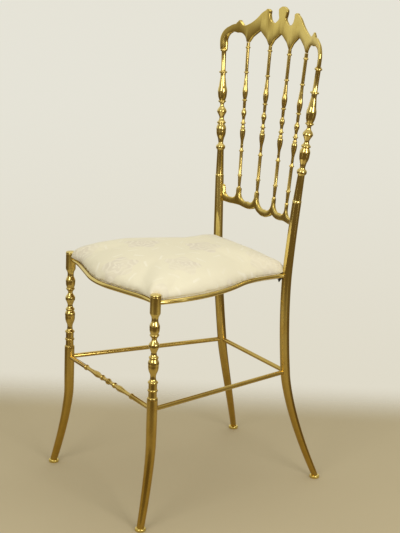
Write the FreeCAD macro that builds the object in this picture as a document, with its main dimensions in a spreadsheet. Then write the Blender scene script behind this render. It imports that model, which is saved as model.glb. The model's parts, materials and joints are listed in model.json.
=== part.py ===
import FreeCAD, Part
import math
import os
import Sketcher
from FreeCAD import Vector

# Polished brass ballroom chair with turned legs, a curved spindle back and a loose padded seat.
# The chair stands on Z = 0 with its feet centred on the origin and its front towards -Y.
# "left" is the sitter's left, towards +X.

DRIVING_SIZES = (
    ("base_depth", 441.4, "centre of the front feet to centre of the rear feet"),
    ("front_foot_offset", 177.8, "front foot centre from the middle plane"),
    ("rear_foot_offset", 148.5, "rear foot centre from the middle plane"),
    ("foot_radius", 11.8, "widest part of a button foot"),
    ("foot_thickness", 6.5, "height of a button foot"),
    ("ankle_radius", 7.4, "front leg just above its foot"),
    ("front_leg_offset", 163.5, "turned front leg from the middle plane"),
    ("front_leg_inset", 26.1, "turned front leg behind the front foot centre"),
    ("leg_radius", 10.2, "plain part of the front leg"),
    ("front_joint_level", 255.0, "where the turned leg meets the bent lower leg"),
    ("splay_level", 165.0, "height at which the front leg starts to splay"),
    ("splay_power", 1.45, "how sharply the front leg splays"),
    ("taper_level", 195.0, "height at which the front leg starts to taper"),
    ("leg_tenon_radius", 5.0, "tenon below the turned leg"),
    ("leg_tenon_length", 14.0, "length of that tenon"),
    ("leg_neck_radius", 5.4, "necks of the turned leg"),
    ("leg_bead_radius", 9.8, "beads and baluster of the turned leg"),
    ("leg_reel_radius", 9.0, "plain reel at the foot of the turned leg"),
    ("leg_reel_level", 295.0, "top of that reel"),
    ("leg_bead_level", 361.5, "centre of the leg bead"),
    ("leg_bead_half", 12.5, "half the height of the leg bead"),
    ("vase_neck_level", 412.0, "neck above the leg vase"),
    ("head_level", 424.0, "bottom of the plain leg head"),
    ("cap_level", 455.5, "seam below the domed cap"),
    ("cap_height", 5.0, "height of the domed cap"),
    ("rear_ankle_radius", 6.5, "rear leg just above its foot"),
    ("rear_leg_radius", 9.8, "rear leg between stretcher and back"),
    ("post_top_radius", 8.9, "rear leg where the turned post starts"),
    ("rear_leg_waist", 114.3, "rear leg from the middle plane at the stretcher"),
    ("rear_leg_setback", 153.2, "rear leg behind the origin at the stretcher"),
    ("seat_leg_setback", 136.5, "rear leg behind the origin at the seat"),
    ("kick_power", 1.27, "how sharply the rear leg kicks back"),
    ("flare_power", 2.0, "how sharply the rear leg flares sideways"),
    ("rise_power", 1.69, "how the rear leg opens above the stretcher"),
    ("waist_power", 1.6, "how the rear leg comes forward up to the seat"),
    ("back_power", 1.5, "how the rear leg leans back above the seat"),
    ("post_level", 593.6, "where the turned post starts"),
    ("post_offset", 133.6, "post from the middle plane at that height"),
    ("post_setback", 140.5, "post behind the origin at that height"),
    ("crest_level", 858.6, "where the crest sits on the posts"),
    ("crest_post_offset", 157.6, "post from the middle plane at the crest"),
    ("crest_post_setback", 153.5, "post behind the origin at the crest"),
    ("post_tenon_radius", 4.6, "tenon below the turned post"),
    ("post_tenon_length", 14.0, "length of that tenon"),
    ("post_neck_radius", 4.9, "necks and upper shaft of the turned post"),
    ("post_bead_radius", 9.8, "beads and baluster of the turned post"),
    ("post_collar_radius", 7.3, "collar under the crest"),
    ("crest_bow", 26.0, "crest centre behind the posts"),
    ("crest_height", 98.4, "top of the middle finial above the crest joint"),
    ("crest_thickness", 7.0, "thickness of the crest casting"),
    ("crest_arm_radius", 5.9, "half the width of a crest arm"),
    ("crest_rake_angle", 3.2, "lean of both back castings in degrees"),
    ("crest_funnel_level", 18.0, "spindle tops above the crest joint"),
    ("funnel_radius", 3.4, "half the width of a crest point over a spindle"),
    ("arch_height", 45.0, "tip of a pointed arch above the crest joint"),
    ("outer_arch_height", 33.6, "top of the round outer arch above the crest joint"),
    ("back_rail_level", 573.0, "datum of the scalloped back rail"),
    ("back_rail_bow", 23.8, "back rail centre behind the posts"),
    ("back_rail_thickness", 8.0, "thickness of the back rail casting"),
    ("socket_drop", 4.0, "spindle seats below the back rail datum"),
    ("socket_radius", 4.1, "spindle seats of the back rail"),
    ("scallop_bottom", 19.0, "outer scallops below the datum"),
    ("back_rail_drop", 39.5, "lowest point of the back rail below the datum"),
    ("middle_scallop_bottom", 25.0, "middle scallop below the datum"),
    ("spindle_top_inner", 32.2, "inner spindle from the middle at the crest"),
    ("spindle_top_outer", 96.3, "outer spindle from the middle at the crest"),
    ("spindle_foot_inner", 29.4, "inner spindle from the middle at the back rail"),
    ("spindle_foot_outer", 82.2, "outer spindle from the middle at the back rail"),
    ("spindle_shaft_radius", 3.1, "plain shaft of a spindle"),
    ("spindle_bead_radius", 5.6, "beads and baluster of a spindle"),
    ("seat_rail_level", 443.5, "centre line of the seat rails"),
    ("seat_rail_radius", 4.4, "seat rail rod"),
    ("front_rail_angle", 15.5, "slope of the bowed front rail in degrees"),
    ("front_rail_shoulder", 133.0, "front rail bend from the middle plane"),
    ("front_rail_bow_radius", 165.0, "radius of the bow in the middle"),
    ("front_rail_shoulder_radius", 176.0, "radius of the bend at each shoulder"),
    ("side_rail_angle", 16.7, "side rail ends against their chord in degrees"),
    ("side_rail_stub", 14.0, "straight end of a side rail"),
    ("side_rail_share", 0.634, "share of a side rail that bows outwards"),
    ("stretcher_level", 235.5, "centre line of the stretchers"),
    ("stretcher_radius", 4.1, "stretcher rod"),
    ("stretcher_bead_radius", 5.9, "middle bead and rings of the front stretcher"),
    ("stretcher_bulge_radius", 5.6, "bulges of the front stretcher"),
    ("stretcher_end_offset", 70.0, "ornament of the front stretcher from its middle"),
    ("ear_thickness", 2.0, "steel of the seat brackets"),
    ("ear_width", 16.0, "width of a seat bracket"),
    ("ear_reach", 38.0, "seat bracket end from the leg centre line"),
    ("gusset_rise", 20.0, "pointed bracket above the seat rail centre"),
    ("gusset_drop", 16.0, "pointed bracket below the seat rail centre"),
    ("gusset_reach", 20.5, "pointed bracket from the leg centre line"),
    ("board_thickness", 10.0, "plywood seat board"),
    ("board_scale", 0.95, "board outline against the rail line"),
    ("pad_height", 35.0, "crown of the seat above its underside"),
    ("cover_thickness", 1.2, "seat fabric"),
    ("seat_centre_setback", -32.0, "centre of the seat outline"),
    ("seat_rear_edge", 131.0, "rear edge of the seat pad"),
    ("seat_front_dip", 1.5, "hollow of the seat outline beside its bowed front"),
    ("seat_corner_inset", 17.0, "front corner of the seat inside the leg centre line"),
    ("seat_corner_lead", 0.4, "front corner of the seat ahead of the leg centre line"),
    ("seat_corner_setback", 18.6, "side of the seat behind the front leg centre line"),
    ("seat_side_overhang", 2.0, "side of the seat outside the front leg centre line"),
    ("seat_side_angle", 1.6, "bend of the seat's side beyond its rail's end, in degrees"),
    ("seat_rear_inset", 3.5, "side of the seat inside the rear leg centre line"),
    ("seat_rear_cut", 20.5, "rear corner of the seat ahead of the rear leg centre line"),
    ("seat_rear_notch", 18.0, "rear edge of the seat inside the rear leg centre line"),
    ("clearance", 0.1, "fit of every tenon and of every coped rod end"),
    ("seat_stock", 0.6, "metal that squaring the spindle and post seats takes off"),
    ("hole_relief", 0.3, "hole bottoms past the ends of tenons"),
    ("seam_gap", 0.1, "brazed or stacked faces of two pieces"),
)


class Size:
    """A number of the model together with the sheet formula that gives it."""

    def __init__(self, value, formula):
        self.value = value
        self.formula = formula

    def __add__(self, other):
        other = as_size(other)
        return Size(self.value + other.value, f"({self.formula} + {other.formula})")

    def __radd__(self, other):
        return as_size(other) + self

    def __sub__(self, other):
        other = as_size(other)
        return Size(self.value - other.value, f"({self.formula} - {other.formula})")

    def __rsub__(self, other):
        return as_size(other) - self

    def __mul__(self, other):
        other = as_size(other)
        return Size(self.value * other.value, f"({self.formula} * {other.formula})")

    def __rmul__(self, other):
        return as_size(other) * self

    def __truediv__(self, other):
        other = as_size(other)
        return Size(self.value / other.value, f"({self.formula} / {other.formula})")

    def __pow__(self, other):
        other = as_size(other)
        return Size(self.value ** other.value, f"({self.formula} ^ {other.formula})")

    def __neg__(self):
        return Size(-self.value, f"(0 - {self.formula})")


def as_size(number):
    """Let a plain number stand beside a size."""
    if isinstance(number, Size):
        return number
    return Size(float(number), f"({float(number):.6f})")


def sine(angle):
    return Size(math.sin(math.radians(angle.value)), f"sin({angle.formula})")


def cosine(angle):
    return Size(math.cos(math.radians(angle.value)), f"cos({angle.formula})")


def tangent(angle):
    return Size(math.tan(math.radians(angle.value)), f"tan({angle.formula})")


def root(number):
    return Size(math.sqrt(number.value), f"sqrt({number.formula})")


def bearing(rise, run):
    """The angle in degrees of a slope."""
    rise, run = as_size(rise), as_size(run)
    value = math.degrees(math.atan2(rise.value, run.value))
    return Size(value, f"(atan2({rise.formula}; {run.formula}) / 1 deg)")


def magnitude(number):
    return number if number.value >= 0 else -number


document = FreeCAD.newDocument("spindle_back_chair")
sheet = document.addObject("Spreadsheet::Sheet", "Sizes")
chosen = {}
for row, (alias, number, meaning) in enumerate(DRIVING_SIZES, start=1):
    sheet.set(f"A{row}", meaning)
    sheet.set(f"B{row}", str(number))
    sheet.setAlias(f"B{row}", alias)
    chosen[alias] = Size(number, f"Sizes.{alias}")
document.recompute()


class Chosen:
    """The driving sizes by name."""

    def __getattr__(self, alias):
        return chosen[alias]


s = Chosen()
pieces = []


def keep(thing, label):
    """Give a finished sub-part its own name."""
    thing.Label = label
    pieces.append(thing)
    return thing


def vector_formula(point):
    x, y, z = (as_size(value).formula for value in point)
    return f"create(<<vector>>; {x}; {y}; {z})"


def placing(point, direction=None):
    """Placement formula: at a point, with Z turned towards a direction that isn't +Z."""
    if direction is None:
        return placing_about(point, (0, 0, 1), 0)
    x, y, z = (as_size(value) for value in direction)
    lean = bearing(root(x * x + y * y), z)
    turn = f"create(<<rotation>>; {vector_formula((-y, x, 0))}; {lean.formula})"
    return f"create(<<placement>>; {vector_formula(point)}; {turn})"


def placing_about(point, axis, angle):
    """Placement formula: at a point, turned about a fixed axis."""
    turn = f"create(<<rotation>>; {vector_formula(axis)}; {as_size(angle).formula})"
    return f"create(<<placement>>; {vector_formula(point)}; {turn})"


def between(start, end, share):
    return tuple(as_size(a) + (as_size(b) - a) * share for a, b in zip(start, end))


def towards(start, end):
    return tuple(as_size(b) - a for a, b in zip(start, end))


def distance(start, end):
    x, y, z = towards(start, end)
    return root(x * x + y * y + z * z)


def origin_plane(body, role):
    return next(feature for feature in body.Origin.OriginFeatures if feature.Role == role)


def arc_through(start, end, bulge):
    """Arc from start to end that swells by bulge to the right of the way from start to end."""
    chord = end - start
    half = chord.Length / 2
    radius = (half * half + bulge * bulge) / (2 * abs(bulge))
    right = Vector(chord.y, -chord.x, 0).normalize()
    side = 1 if bulge > 0 else -1
    centre = (start + end) / 2 + right * (bulge - side * radius)
    circle = Part.Circle(centre, Vector(0, 0, 1), radius)
    first, last = (start, end) if bulge > 0 else (end, start)
    angles = [math.atan2(p.y - centre.y, p.x - centre.x) for p in (first, last)]
    return Part.ArcOfCircle(circle, angles[0], angles[1])


def pin(sketch, geometry, position, point):
    """Hold one sketch point at a place given by two sizes."""
    for kind, axis, value in (("DistanceX", -2, point[0]), ("DistanceY", -1, point[1])):
        if value.value == 0:
            sketch.addConstraint(Sketcher.Constraint("PointOnObject", geometry, position, axis))
            continue
        number = sketch.addConstraint(Sketcher.Constraint(kind, -1, 1, geometry, position, value.value))
        sketch.setExpression(f"Constraints[{number}]", value.formula)


def draw_outline(body, name, role, stations, closed=True):
    """Sketch an outline of lines and arcs; a station is (across, up) or (across, up, bulge)."""
    sketch = body.newObject("Sketcher::SketchObject", name)
    sketch.AttachmentSupport = [(origin_plane(body, role), "")]
    sketch.MapMode = "FlatFace"
    points = [(as_size(station[0]), as_size(station[1])) for station in stations]
    bulges = [as_size(station[2]) if len(station) > 2 else as_size(0) for station in stations]
    places = [Vector(x.value, y.value, 0) for x, y in points]
    spans = len(points) if closed else len(points) - 1
    ends = []
    for index in range(spans):
        start, end = places[index], places[(index + 1) % len(places)]
        bulge = bulges[index]
        if bulge.value == 0:
            sketch.addGeometry(Part.LineSegment(start, end))
            ends.append((1, 2))
        else:
            sketch.addGeometry(arc_through(start, end, bulge.value))
            ends.append((1, 2) if bulge.value > 0 else (2, 1))
    for index in range(spans):
        pin(sketch, index, ends[index][0], points[index])
        following = (index + 1) % spans
        if closed or index + 1 < spans:
            joint = Sketcher.Constraint("Coincident", index, ends[index][1], following, ends[following][0])
            sketch.addConstraint(joint)
        if bulges[index].value != 0:
            x1, y1 = points[index]
            x2, y2 = points[(index + 1) % len(points)]
            chord_squared = (x2 - x1) * (x2 - x1) + (y2 - y1) * (y2 - y1)
            depth = magnitude(bulges[index])
            radius = (chord_squared / 4 + depth * depth) / (2 * depth)
            number = sketch.addConstraint(Sketcher.Constraint("Radius", index, radius.value))
            sketch.setExpression(f"Constraints[{number}]", radius.formula)
    if not closed:
        pin(sketch, spans - 1, ends[-1][1], points[-1])
    return sketch


def turned(label, stations, placement):
    """Turn a piece about its own Z axis from (radius, height, bulge) stations, foot to top."""
    body = document.addObject("PartDesign::Body", label)
    foot = (as_size(0), stations[0][1])
    top = (as_size(0), stations[-1][1])
    profile = draw_outline(body, label + "_profile", "XZ_Plane", [foot] + list(stations) + [top])
    turning = body.newObject("PartDesign::Revolution", label + "_turning")
    turning.Profile = profile
    turning.ReferenceAxis = (profile, ["V_Axis"])
    turning.Angle = 360
    body.Tip = turning
    body.setExpression("Placement", placement)
    return body


def plate(label, role, stations, thickness, placement):
    """Extrude an outline equally to both sides of an origin plane."""
    body = document.addObject("PartDesign::Body", label)
    outline = draw_outline(body, label + "_outline", role, stations)
    pad = body.newObject("PartDesign::Pad", label + "_pad")
    pad.Profile = outline
    pad.Midplane = True
    pad.setExpression("Length", as_size(thickness).formula)
    body.Tip = pad
    body.setExpression("Placement", placement)
    return body


def rod(label, start, end, radius):
    """A round bar between two points."""
    bar = document.addObject("Part::Cylinder", label)
    bar.setExpression("Radius", as_size(radius).formula)
    bar.setExpression("Height", distance(start, end).formula)
    bar.setExpression("Placement", placing(start, towards(start, end)))
    return bar


def upright(label, foot, height, radius):
    """A round bar straight up from a point."""
    bar = document.addObject("Part::Cylinder", label)
    bar.setExpression("Radius", as_size(radius).formula)
    bar.setExpression("Height", as_size(height).formula)
    bar.setExpression("Placement", placing(foot))
    return bar


def joined(kind, label, shapes):
    result = document.addObject(kind, label)
    result.Shapes = shapes
    return result


def cut_away(label, base, tools):
    """Take one or more tools out of a base."""
    result = document.addObject("Part::Cut", label)
    result.Base = base
    result.Tool = tools[0] if len(tools) == 1 else joined("Part::MultiFuse", label + "_holes", tools)
    return result


def lofted_leg(label, sections):
    """A bent tapering bar through round sections, each given by a centre, a direction and a radius."""
    rings = []
    for index, (centre, direction, radius) in enumerate(sections):
        circle = document.addObject("Part::Circle", f"{label}_section_{index}")
        circle.setExpression("Radius", as_size(radius).formula)
        circle.setExpression("Placement", placing(centre, direction))
        rings.append(circle)
    loft = document.addObject("Part::Loft", label)
    loft.Sections = rings
    loft.Solid = True
    loft.Ruled = True
    return loft


def mirrored(stations):
    """Whole symmetric outline from one half; a bulge is outwards when the way round is leftwards."""
    half = [(as_size(p[0]), as_size(p[1]), as_size(p[2]) if len(p) > 2 else as_size(0)) for p in stations]
    last = len(half) - 1
    if half[last][0].value == 0:
        half[last] = (half[last][0], half[last][1], half[last - 1][2])
        last -= 1
    first = 1 if half[0][0].value == 0 else 0
    other = []
    for index in range(last, first - 1, -1):
        bulge = half[index - 1][2] if index > 0 else as_size(0)
        other.append((-half[index][0], half[index][1], bulge))
    return half + other


# Places that several pieces share

SIDES = (("left", 1), ("right", -1))
front_foot_y = -(s.base_depth / 2)
rear_foot_y = s.base_depth / 2
front_leg_y = front_foot_y + s.front_leg_inset
back_slope = tangent(s.crest_rake_angle)


def rear_leg_centre(side, level):
    """Centre line of a rear leg: flared feet, upright at the seat, opening towards the crest."""
    level = as_size(level)
    if level.value < s.stretcher_level.value:
        share = (s.stretcher_level - level) / (s.stretcher_level - s.foot_thickness)
        x = s.rear_leg_waist + (s.rear_foot_offset - s.rear_leg_waist) * share ** s.flare_power
        y = s.rear_leg_setback + (rear_foot_y - s.rear_leg_setback) * share ** s.kick_power
        return side * x, y, level
    rise = (level - s.stretcher_level) / (s.post_level - s.stretcher_level)
    x = s.rear_leg_waist
    if rise.value > 0:
        x = x + (s.post_offset - s.rear_leg_waist) * rise ** s.rise_power
    seat = s.seat_rail_level
    if level.value < seat.value:
        share = (seat - level) / (seat - s.stretcher_level)
        y = s.seat_leg_setback + (s.rear_leg_setback - s.seat_leg_setback) * share ** s.waist_power
    elif level.value > seat.value:
        share = (level - seat) / (s.post_level - seat)
        y = s.seat_leg_setback + (s.post_setback - s.seat_leg_setback) * share ** s.back_power
    else:
        y = s.seat_leg_setback
    return side * x, y, level


def front_leg_centre(side, level):
    """Centre line of a front leg: upright above, splayed forwards and outwards below."""
    level = as_size(level)
    x, y = s.front_leg_offset, front_leg_y
    if level.value < s.splay_level.value:
        share = ((s.splay_level - level) / (s.splay_level - s.foot_thickness)) ** s.splay_power
        x = x + (s.front_foot_offset - x) * share
        y = y + (front_foot_y - y) * share
    return side * x, y, level


def spindle_foot(x):
    bow = s.back_rail_bow * (1 - (x / s.post_offset) ** 2)
    y = s.post_setback + bow - s.socket_drop * back_slope
    return x, y, s.back_rail_level - s.socket_drop


def spindle_top(x):
    bow = s.crest_bow * (1 - (x / s.crest_post_offset) ** 2)
    y = s.crest_post_setback + bow + s.crest_funnel_level * back_slope
    return x, y, s.crest_level + s.crest_funnel_level


def post_foot(side):
    return side * s.post_offset, s.post_setback, s.post_level


def post_top(side):
    return side * s.crest_post_offset, s.crest_post_setback, s.crest_level


SPINDLES = (
    ("spindle_1", s.spindle_foot_outer, s.spindle_top_outer),
    ("spindle_2", s.spindle_foot_inner, s.spindle_top_inner),
    ("spindle_3", -s.spindle_foot_inner, -s.spindle_top_inner),
    ("spindle_4", -s.spindle_foot_outer, -s.spindle_top_outer),
)


def leg_girth(label, side, at_front, level):
    """The round of a leg about a level, a little wider than the leg, to cope rod ends against."""
    centre_of = front_leg_centre if at_front else rear_leg_centre
    radius = (s.leg_radius if at_front else s.rear_leg_radius) + s.clearance
    low, high = centre_of(side, level - s.leg_radius), centre_of(side, level + s.leg_radius)
    return rod(label, low, high, radius)


def rod_between(label, first, second, radius, girths):
    """A straight rod between two leg centre lines, coped to both legs."""
    return cut_away(label, rod(label + "_bar", first, second, radius), girths)


# Seat rails: a bowed front, two S-curved sides and a straight rear


def side_rail_frame(side):
    """Chord length and heading of a side rail, from its front leg to its rear leg."""
    front = (side * s.front_leg_offset, front_leg_y, s.seat_rail_level)
    rear = rear_leg_centre(side, s.seat_rail_level)
    return front, rear, distance(front, rear)


def side_rail_swing(length):
    """How far a side rail turns in each of its two bends, in degrees."""
    turn = s.side_rail_angle
    return turn + bearing(2 * s.side_rail_stub * sine(turn), length - 2 * s.side_rail_stub * cosine(turn))


def side_rail(label, side):
    """An S-curved side rail on its own chord, from the front leg to the rear leg."""
    front, rear, length = side_rail_frame(side)
    body = document.addObject("PartDesign::Body", label + "_bar")
    outward = -side
    turn = s.side_rail_angle
    start = (as_size(0), as_size(0))
    stub = (s.side_rail_stub * cosine(turn), s.side_rail_stub * sine(turn) * outward)
    far_stub = (length - stub[0], -stub[1])
    end = (length, as_size(0))
    run, rise = far_stub[0] - stub[0], far_stub[1] - stub[1]
    middle = (stub[0] + run * s.side_rail_share, stub[1] + rise * s.side_rail_share)
    swell = root(run * run + rise * rise) / 2 * tangent(side_rail_swing(length) / 2)
    path = draw_outline(
        body,
        label + "_path",
        "XY_Plane",
        [
            start,
            (stub[0], stub[1], swell * s.side_rail_share * side),
            (middle[0], middle[1], -(swell * (1 - s.side_rail_share)) * side),
            far_stub,
            end,
        ],
        closed=False,
    )
    section = body.newObject("Sketcher::SketchObject", label + "_section")
    section.AttachmentSupport = [(origin_plane(body, "YZ_Plane"), "")]
    section.MapMode = "FlatFace"
    section.setExpression("AttachmentOffset", placing_about((0, 0, 0), (0, 1, 0), turn * outward))
    draw_disc(section, s.seat_rail_radius)
    sweep(body, label + "_sweep", section, path)
    across, ahead, _ = towards(front, rear)
    body.setExpression("Placement", placing_about(front, (0, 0, 1), bearing(ahead, across)))
    girths = [
        leg_girth(label + "_front_cope", side, True, s.seat_rail_level),
        leg_girth(label + "_rear_cope", side, False, s.seat_rail_level),
    ]
    return cut_away(label, body, girths)


def draw_disc(sketch, radius):
    """A disc centred on the sketch origin."""
    sketch.addGeometry(Part.Circle(Vector(0, 0, 0), Vector(0, 0, 1), radius.value))
    sketch.addConstraint(Sketcher.Constraint("Coincident", 0, 3, -1, 1))
    number = sketch.addConstraint(Sketcher.Constraint("Radius", 0, radius.value))
    sketch.setExpression(f"Constraints[{number}]", radius.formula)


def sweep(body, name, section, path):
    pipe = body.newObject("PartDesign::AdditivePipe", name)
    pipe.Profile = section
    pipe.Spine = (path, [])
    body.Tip = pipe


def front_rail_points():
    """Half of the bowed front rail's centre line, from the middle to the shoulder, seen from above."""
    slope = s.front_rail_angle
    peak = s.front_rail_shoulder * tangent(slope)
    bow_run = s.front_rail_bow_radius * tangent(slope)
    bend_run = s.front_rail_shoulder_radius * tangent(slope / 2)
    bow_end = (bow_run * cosine(slope), front_leg_y - (peak - bow_run * sine(slope)))
    bend_start = (
        s.front_rail_shoulder - bend_run * cosine(slope),
        front_leg_y - bend_run * sine(slope),
    )
    bend_end = (s.front_rail_shoulder + bend_run, front_leg_y)
    return bow_end, bend_start, bend_end


def front_rail(label):
    body = document.addObject("PartDesign::Body", label + "_bar")
    bow_end, bend_start, bend_end = front_rail_points()
    bow = s.front_rail_bow_radius * (1 - cosine(s.front_rail_angle))
    bend = s.front_rail_shoulder_radius * (1 - cosine(s.front_rail_angle / 2))
    tip = s.front_leg_offset
    path = draw_outline(
        body,
        label + "_path",
        "XY_Plane",
        [
            (-tip, front_leg_y),
            (-bend_end[0], bend_end[1], -bend),
            (-bend_start[0], bend_start[1]),
            (-bow_end[0], bow_end[1], bow),
            (bow_end[0], bow_end[1]),
            (bend_start[0], bend_start[1], -bend),
            (bend_end[0], bend_end[1]),
            (tip, front_leg_y),
        ],
        closed=False,
    )
    section = body.newObject("Sketcher::SketchObject", label + "_section")
    section.AttachmentSupport = [(origin_plane(body, "YZ_Plane"), "")]
    section.MapMode = "FlatFace"
    section.setExpression("AttachmentOffset", placing((front_leg_y, 0, -tip)))
    draw_disc(section, s.seat_rail_radius)
    sweep(body, label + "_sweep", section, path)
    body.setExpression("Placement", placing((0, 0, s.seat_rail_level)))
    girths = [leg_girth(f"{label}_{name}_cope", side, True, s.seat_rail_level) for name, side in SIDES]
    return cut_away(label, body, girths)


# Front legs


def foot(label, centre):
    """A button foot under the end of a leg."""
    stations = [
        (s.foot_radius * 0.95, 0),
        (s.foot_radius, s.foot_thickness * 0.4),
        (s.ankle_radius * 1.1, s.foot_thickness - s.seam_gap),
    ]
    return turned(label, stations, placing((centre[0], centre[1], 0)))


def lower_front_leg(label, side):
    """The bent and tapered foot end of a front leg, with a hole for the turned leg's tenon."""
    sections = []
    fall = s.splay_level - s.foot_thickness
    levels = [s.foot_thickness + fall * share for share in (0.0, 0.3, 0.65)]
    for level in levels + [s.taper_level, s.front_joint_level]:
        taper = (level - s.foot_thickness) / (s.taper_level - s.foot_thickness)
        radius = s.ankle_radius + (s.leg_radius - s.ankle_radius) * taper
        if taper.value > 1:
            radius = s.leg_radius
        sections.append((front_leg_centre(side, level), None, radius))
    blank = lofted_leg(label + "_blank", sections)
    joint = front_leg_centre(side, s.front_joint_level)
    depth = s.leg_tenon_length + s.hole_relief
    tenon_hole = upright(
        label + "_tenon_hole",
        (joint[0], joint[1], s.front_joint_level - depth),
        depth + s.leg_tenon_radius,
        s.leg_tenon_radius + s.clearance,
    )
    return cut_away(label, blank, [tenon_hole])


def turned_front_leg(label, side):
    """The turned upper half of a front leg, with its plain head for the seat rails."""
    neck = s.leg_neck_radius
    base = s.front_joint_level + s.seam_gap
    swell = s.leg_bead_radius - neck
    stations = [
        (s.leg_tenon_radius, base - s.leg_tenon_length),
        (s.leg_tenon_radius, base),
        (s.leg_reel_radius, base),
        (s.leg_reel_radius, s.leg_reel_level),
        (neck, s.leg_reel_level, swell),
        (neck, s.leg_bead_level - s.leg_bead_half, swell),
        (neck, s.leg_bead_level + s.leg_bead_half, swell),
        (neck, s.vase_neck_level),
        (s.leg_radius, s.head_level),
        (s.leg_radius, s.cap_level - s.seam_gap),
    ]
    return turned(label, stations, placing((side * s.front_leg_offset, front_leg_y, 0)))


def leg_cap(label, side):
    """A low dome that closes the head of a front leg."""
    stations = [
        (s.leg_radius, s.cap_level),
        (s.leg_radius * 0.94, s.cap_level + s.cap_height * 0.6),
        (s.leg_radius * 0.5, s.cap_level + s.cap_height),
    ]
    return turned(label, stations, placing((side * s.front_leg_offset, front_leg_y, 0)))


# Rear legs, turned posts and the cast back


def rear_leg(label, side):
    """One bent bar from the foot to the turned post."""
    run = s.stretcher_level - s.foot_thickness
    levels = [s.foot_thickness + run * share for share in (0.0, 0.2, 0.45, 0.75)]
    levels += [s.stretcher_level, (s.stretcher_level + s.seat_rail_level) / 2, s.seat_rail_level]
    levels += [(s.seat_rail_level + s.post_level) / 2]
    sections = []
    for level in levels:
        low = (level - s.foot_thickness) / run
        high = (level - s.seat_rail_level) / (s.post_level - s.seat_rail_level)
        radius = s.rear_leg_radius
        if low.value < 1:
            radius = s.rear_ankle_radius + (s.rear_leg_radius - s.rear_ankle_radius) * low
        elif high.value > 0:
            radius = s.rear_leg_radius + (s.post_top_radius - s.rear_leg_radius) * high
        direction = None
        if level is not levels[0]:
            direction = towards(rear_leg_centre(side, level - 2), rear_leg_centre(side, level + 2))
        sections.append((rear_leg_centre(side, level), direction, radius))
    sections.append((post_foot(side), towards(post_foot(side), post_top(side)), s.post_top_radius))
    blank = lofted_leg(label + "_blank", sections)
    post_length = distance(post_foot(side), post_top(side))
    depth = s.post_tenon_length + s.hole_relief
    bottom = between(post_foot(side), post_top(side), -depth / post_length)
    above = between(post_foot(side), post_top(side), s.post_tenon_radius / post_length)
    tenon_hole = rod(label + "_tenon_hole", bottom, above, s.post_tenon_radius + s.clearance)
    return cut_away(label, blank, [tenon_hole])


def turned_post(label, side):
    """The turned upper half of a back post, on its own leaning axis."""
    length = distance(post_foot(side), post_top(side))
    neck = s.post_neck_radius
    swell = s.post_bead_radius - neck
    stations = [
        (s.post_tenon_radius, -s.post_tenon_length),
        (s.post_tenon_radius, s.seam_gap),
        (s.post_top_radius * 0.88, s.seam_gap),
        (s.post_top_radius * 0.88, length * 0.205, swell * 0.45),
        (neck, length * 0.262, swell),
        (neck, length * 0.452, swell),
        (neck, length * 0.56, swell),
        (neck, length * 0.8),
        (neck, length * 0.96),
        (s.post_collar_radius, length - s.seam_gap),
    ]
    return turned(label, stations, placing(post_foot(side), towards(post_foot(side), post_top(side))))


def back_casting(label, stations, thickness, bow, offset, centre_y, level):
    """A flat outline bent to the curve of the back: its extrusion meets a bowed wall of even thickness."""
    bow_radius = (offset * offset + bow * bow) / (2 * bow)
    block = plate(label + "_block", "XZ_Plane", stations, bow * 6, placing((0, 0, 0)))
    tall = s.arch_height * 6
    walls = []
    for name, radius in (("outer", bow_radius + thickness / 2), ("inner", bow_radius - thickness / 2)):
        walls.append(upright(f"{label}_{name}_wall", (0, -bow_radius, -(tall / 2)), tall, radius))
    wall = document.addObject("Part::Cut", label + "_wall")
    wall.Base, wall.Tool = walls
    bent = joined("Part::MultiCommon", label + "_bent", [block, wall])
    bent.setExpression("Placement", placing_about((0, centre_y, level), (1, 0, 0), -s.crest_rake_angle))
    return bent


def crest_outline():
    """One half of the crest, from the middle finial over the horns and the arm to the arches."""
    lean = (s.crest_post_offset - s.post_offset) / (s.crest_level - s.post_level)
    arm = s.crest_arm_radius
    post = s.crest_post_offset
    tall = s.crest_height
    tip = s.crest_funnel_level - s.seat_stock
    funnel = s.funnel_radius
    outer, inner = s.spindle_top_outer, s.spindle_top_inner
    round_half = (post - arm - outer - funnel) / 2
    spring = s.outer_arch_height - round_half
    slope_run, slope_rise = funnel * 2.4, funnel * 3
    middle = (outer + inner) / 2
    half = [
        (0, tall, 0.6),
        (post * 0.07, tall * 0.96, 0.8),
        (post * 0.088, tall * 0.91, 0.8),
        (post * 0.065, tall * 0.78, -1.0),
        (post * 0.095, tall * 0.7, -8.0),
        (post * 0.25, tall * 0.765, -0.8),
        (post * 0.25, tall * 0.87, 0.6),
        (post * 0.292, tall * 0.908, 1.0),
        (post * 0.325, tall * 0.89, 1.8),
        (post * 0.438, tall * 0.755, -2.4),
        (post * 0.685, tall * 0.504, -0.8),
        (post * 0.74, tall * 0.547, -0.6),
        (post * 0.772, tall * 0.608, 0.8),
        (post * 0.822, tall * 0.524, 1.0),
        (post * 0.92, tall * 0.458, 4.6),
        (post + arm + tall * 0.18 * lean, tall * 0.18, 0.5),
        (post + arm, -(arm * lean) - s.seat_stock),
        (post - arm, arm * lean - s.seat_stock),
        (post - arm, spring, -(round_half * 0.98)),
        (outer + funnel, spring),
        (outer + funnel, tip),
        (outer - funnel, tip),
        (outer - slope_run, tip + slope_rise, -0.8),
        (middle, s.arch_height, -0.8),
        (inner + slope_run, tip + slope_rise),
        (inner + funnel, tip),
        (inner - funnel, tip),
        (inner - slope_run, tip + slope_rise, -0.8),
        (0, s.arch_height),
    ]
    return [(-x, y, bulge[0] if bulge else 0) for x, y, *bulge in half]


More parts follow.
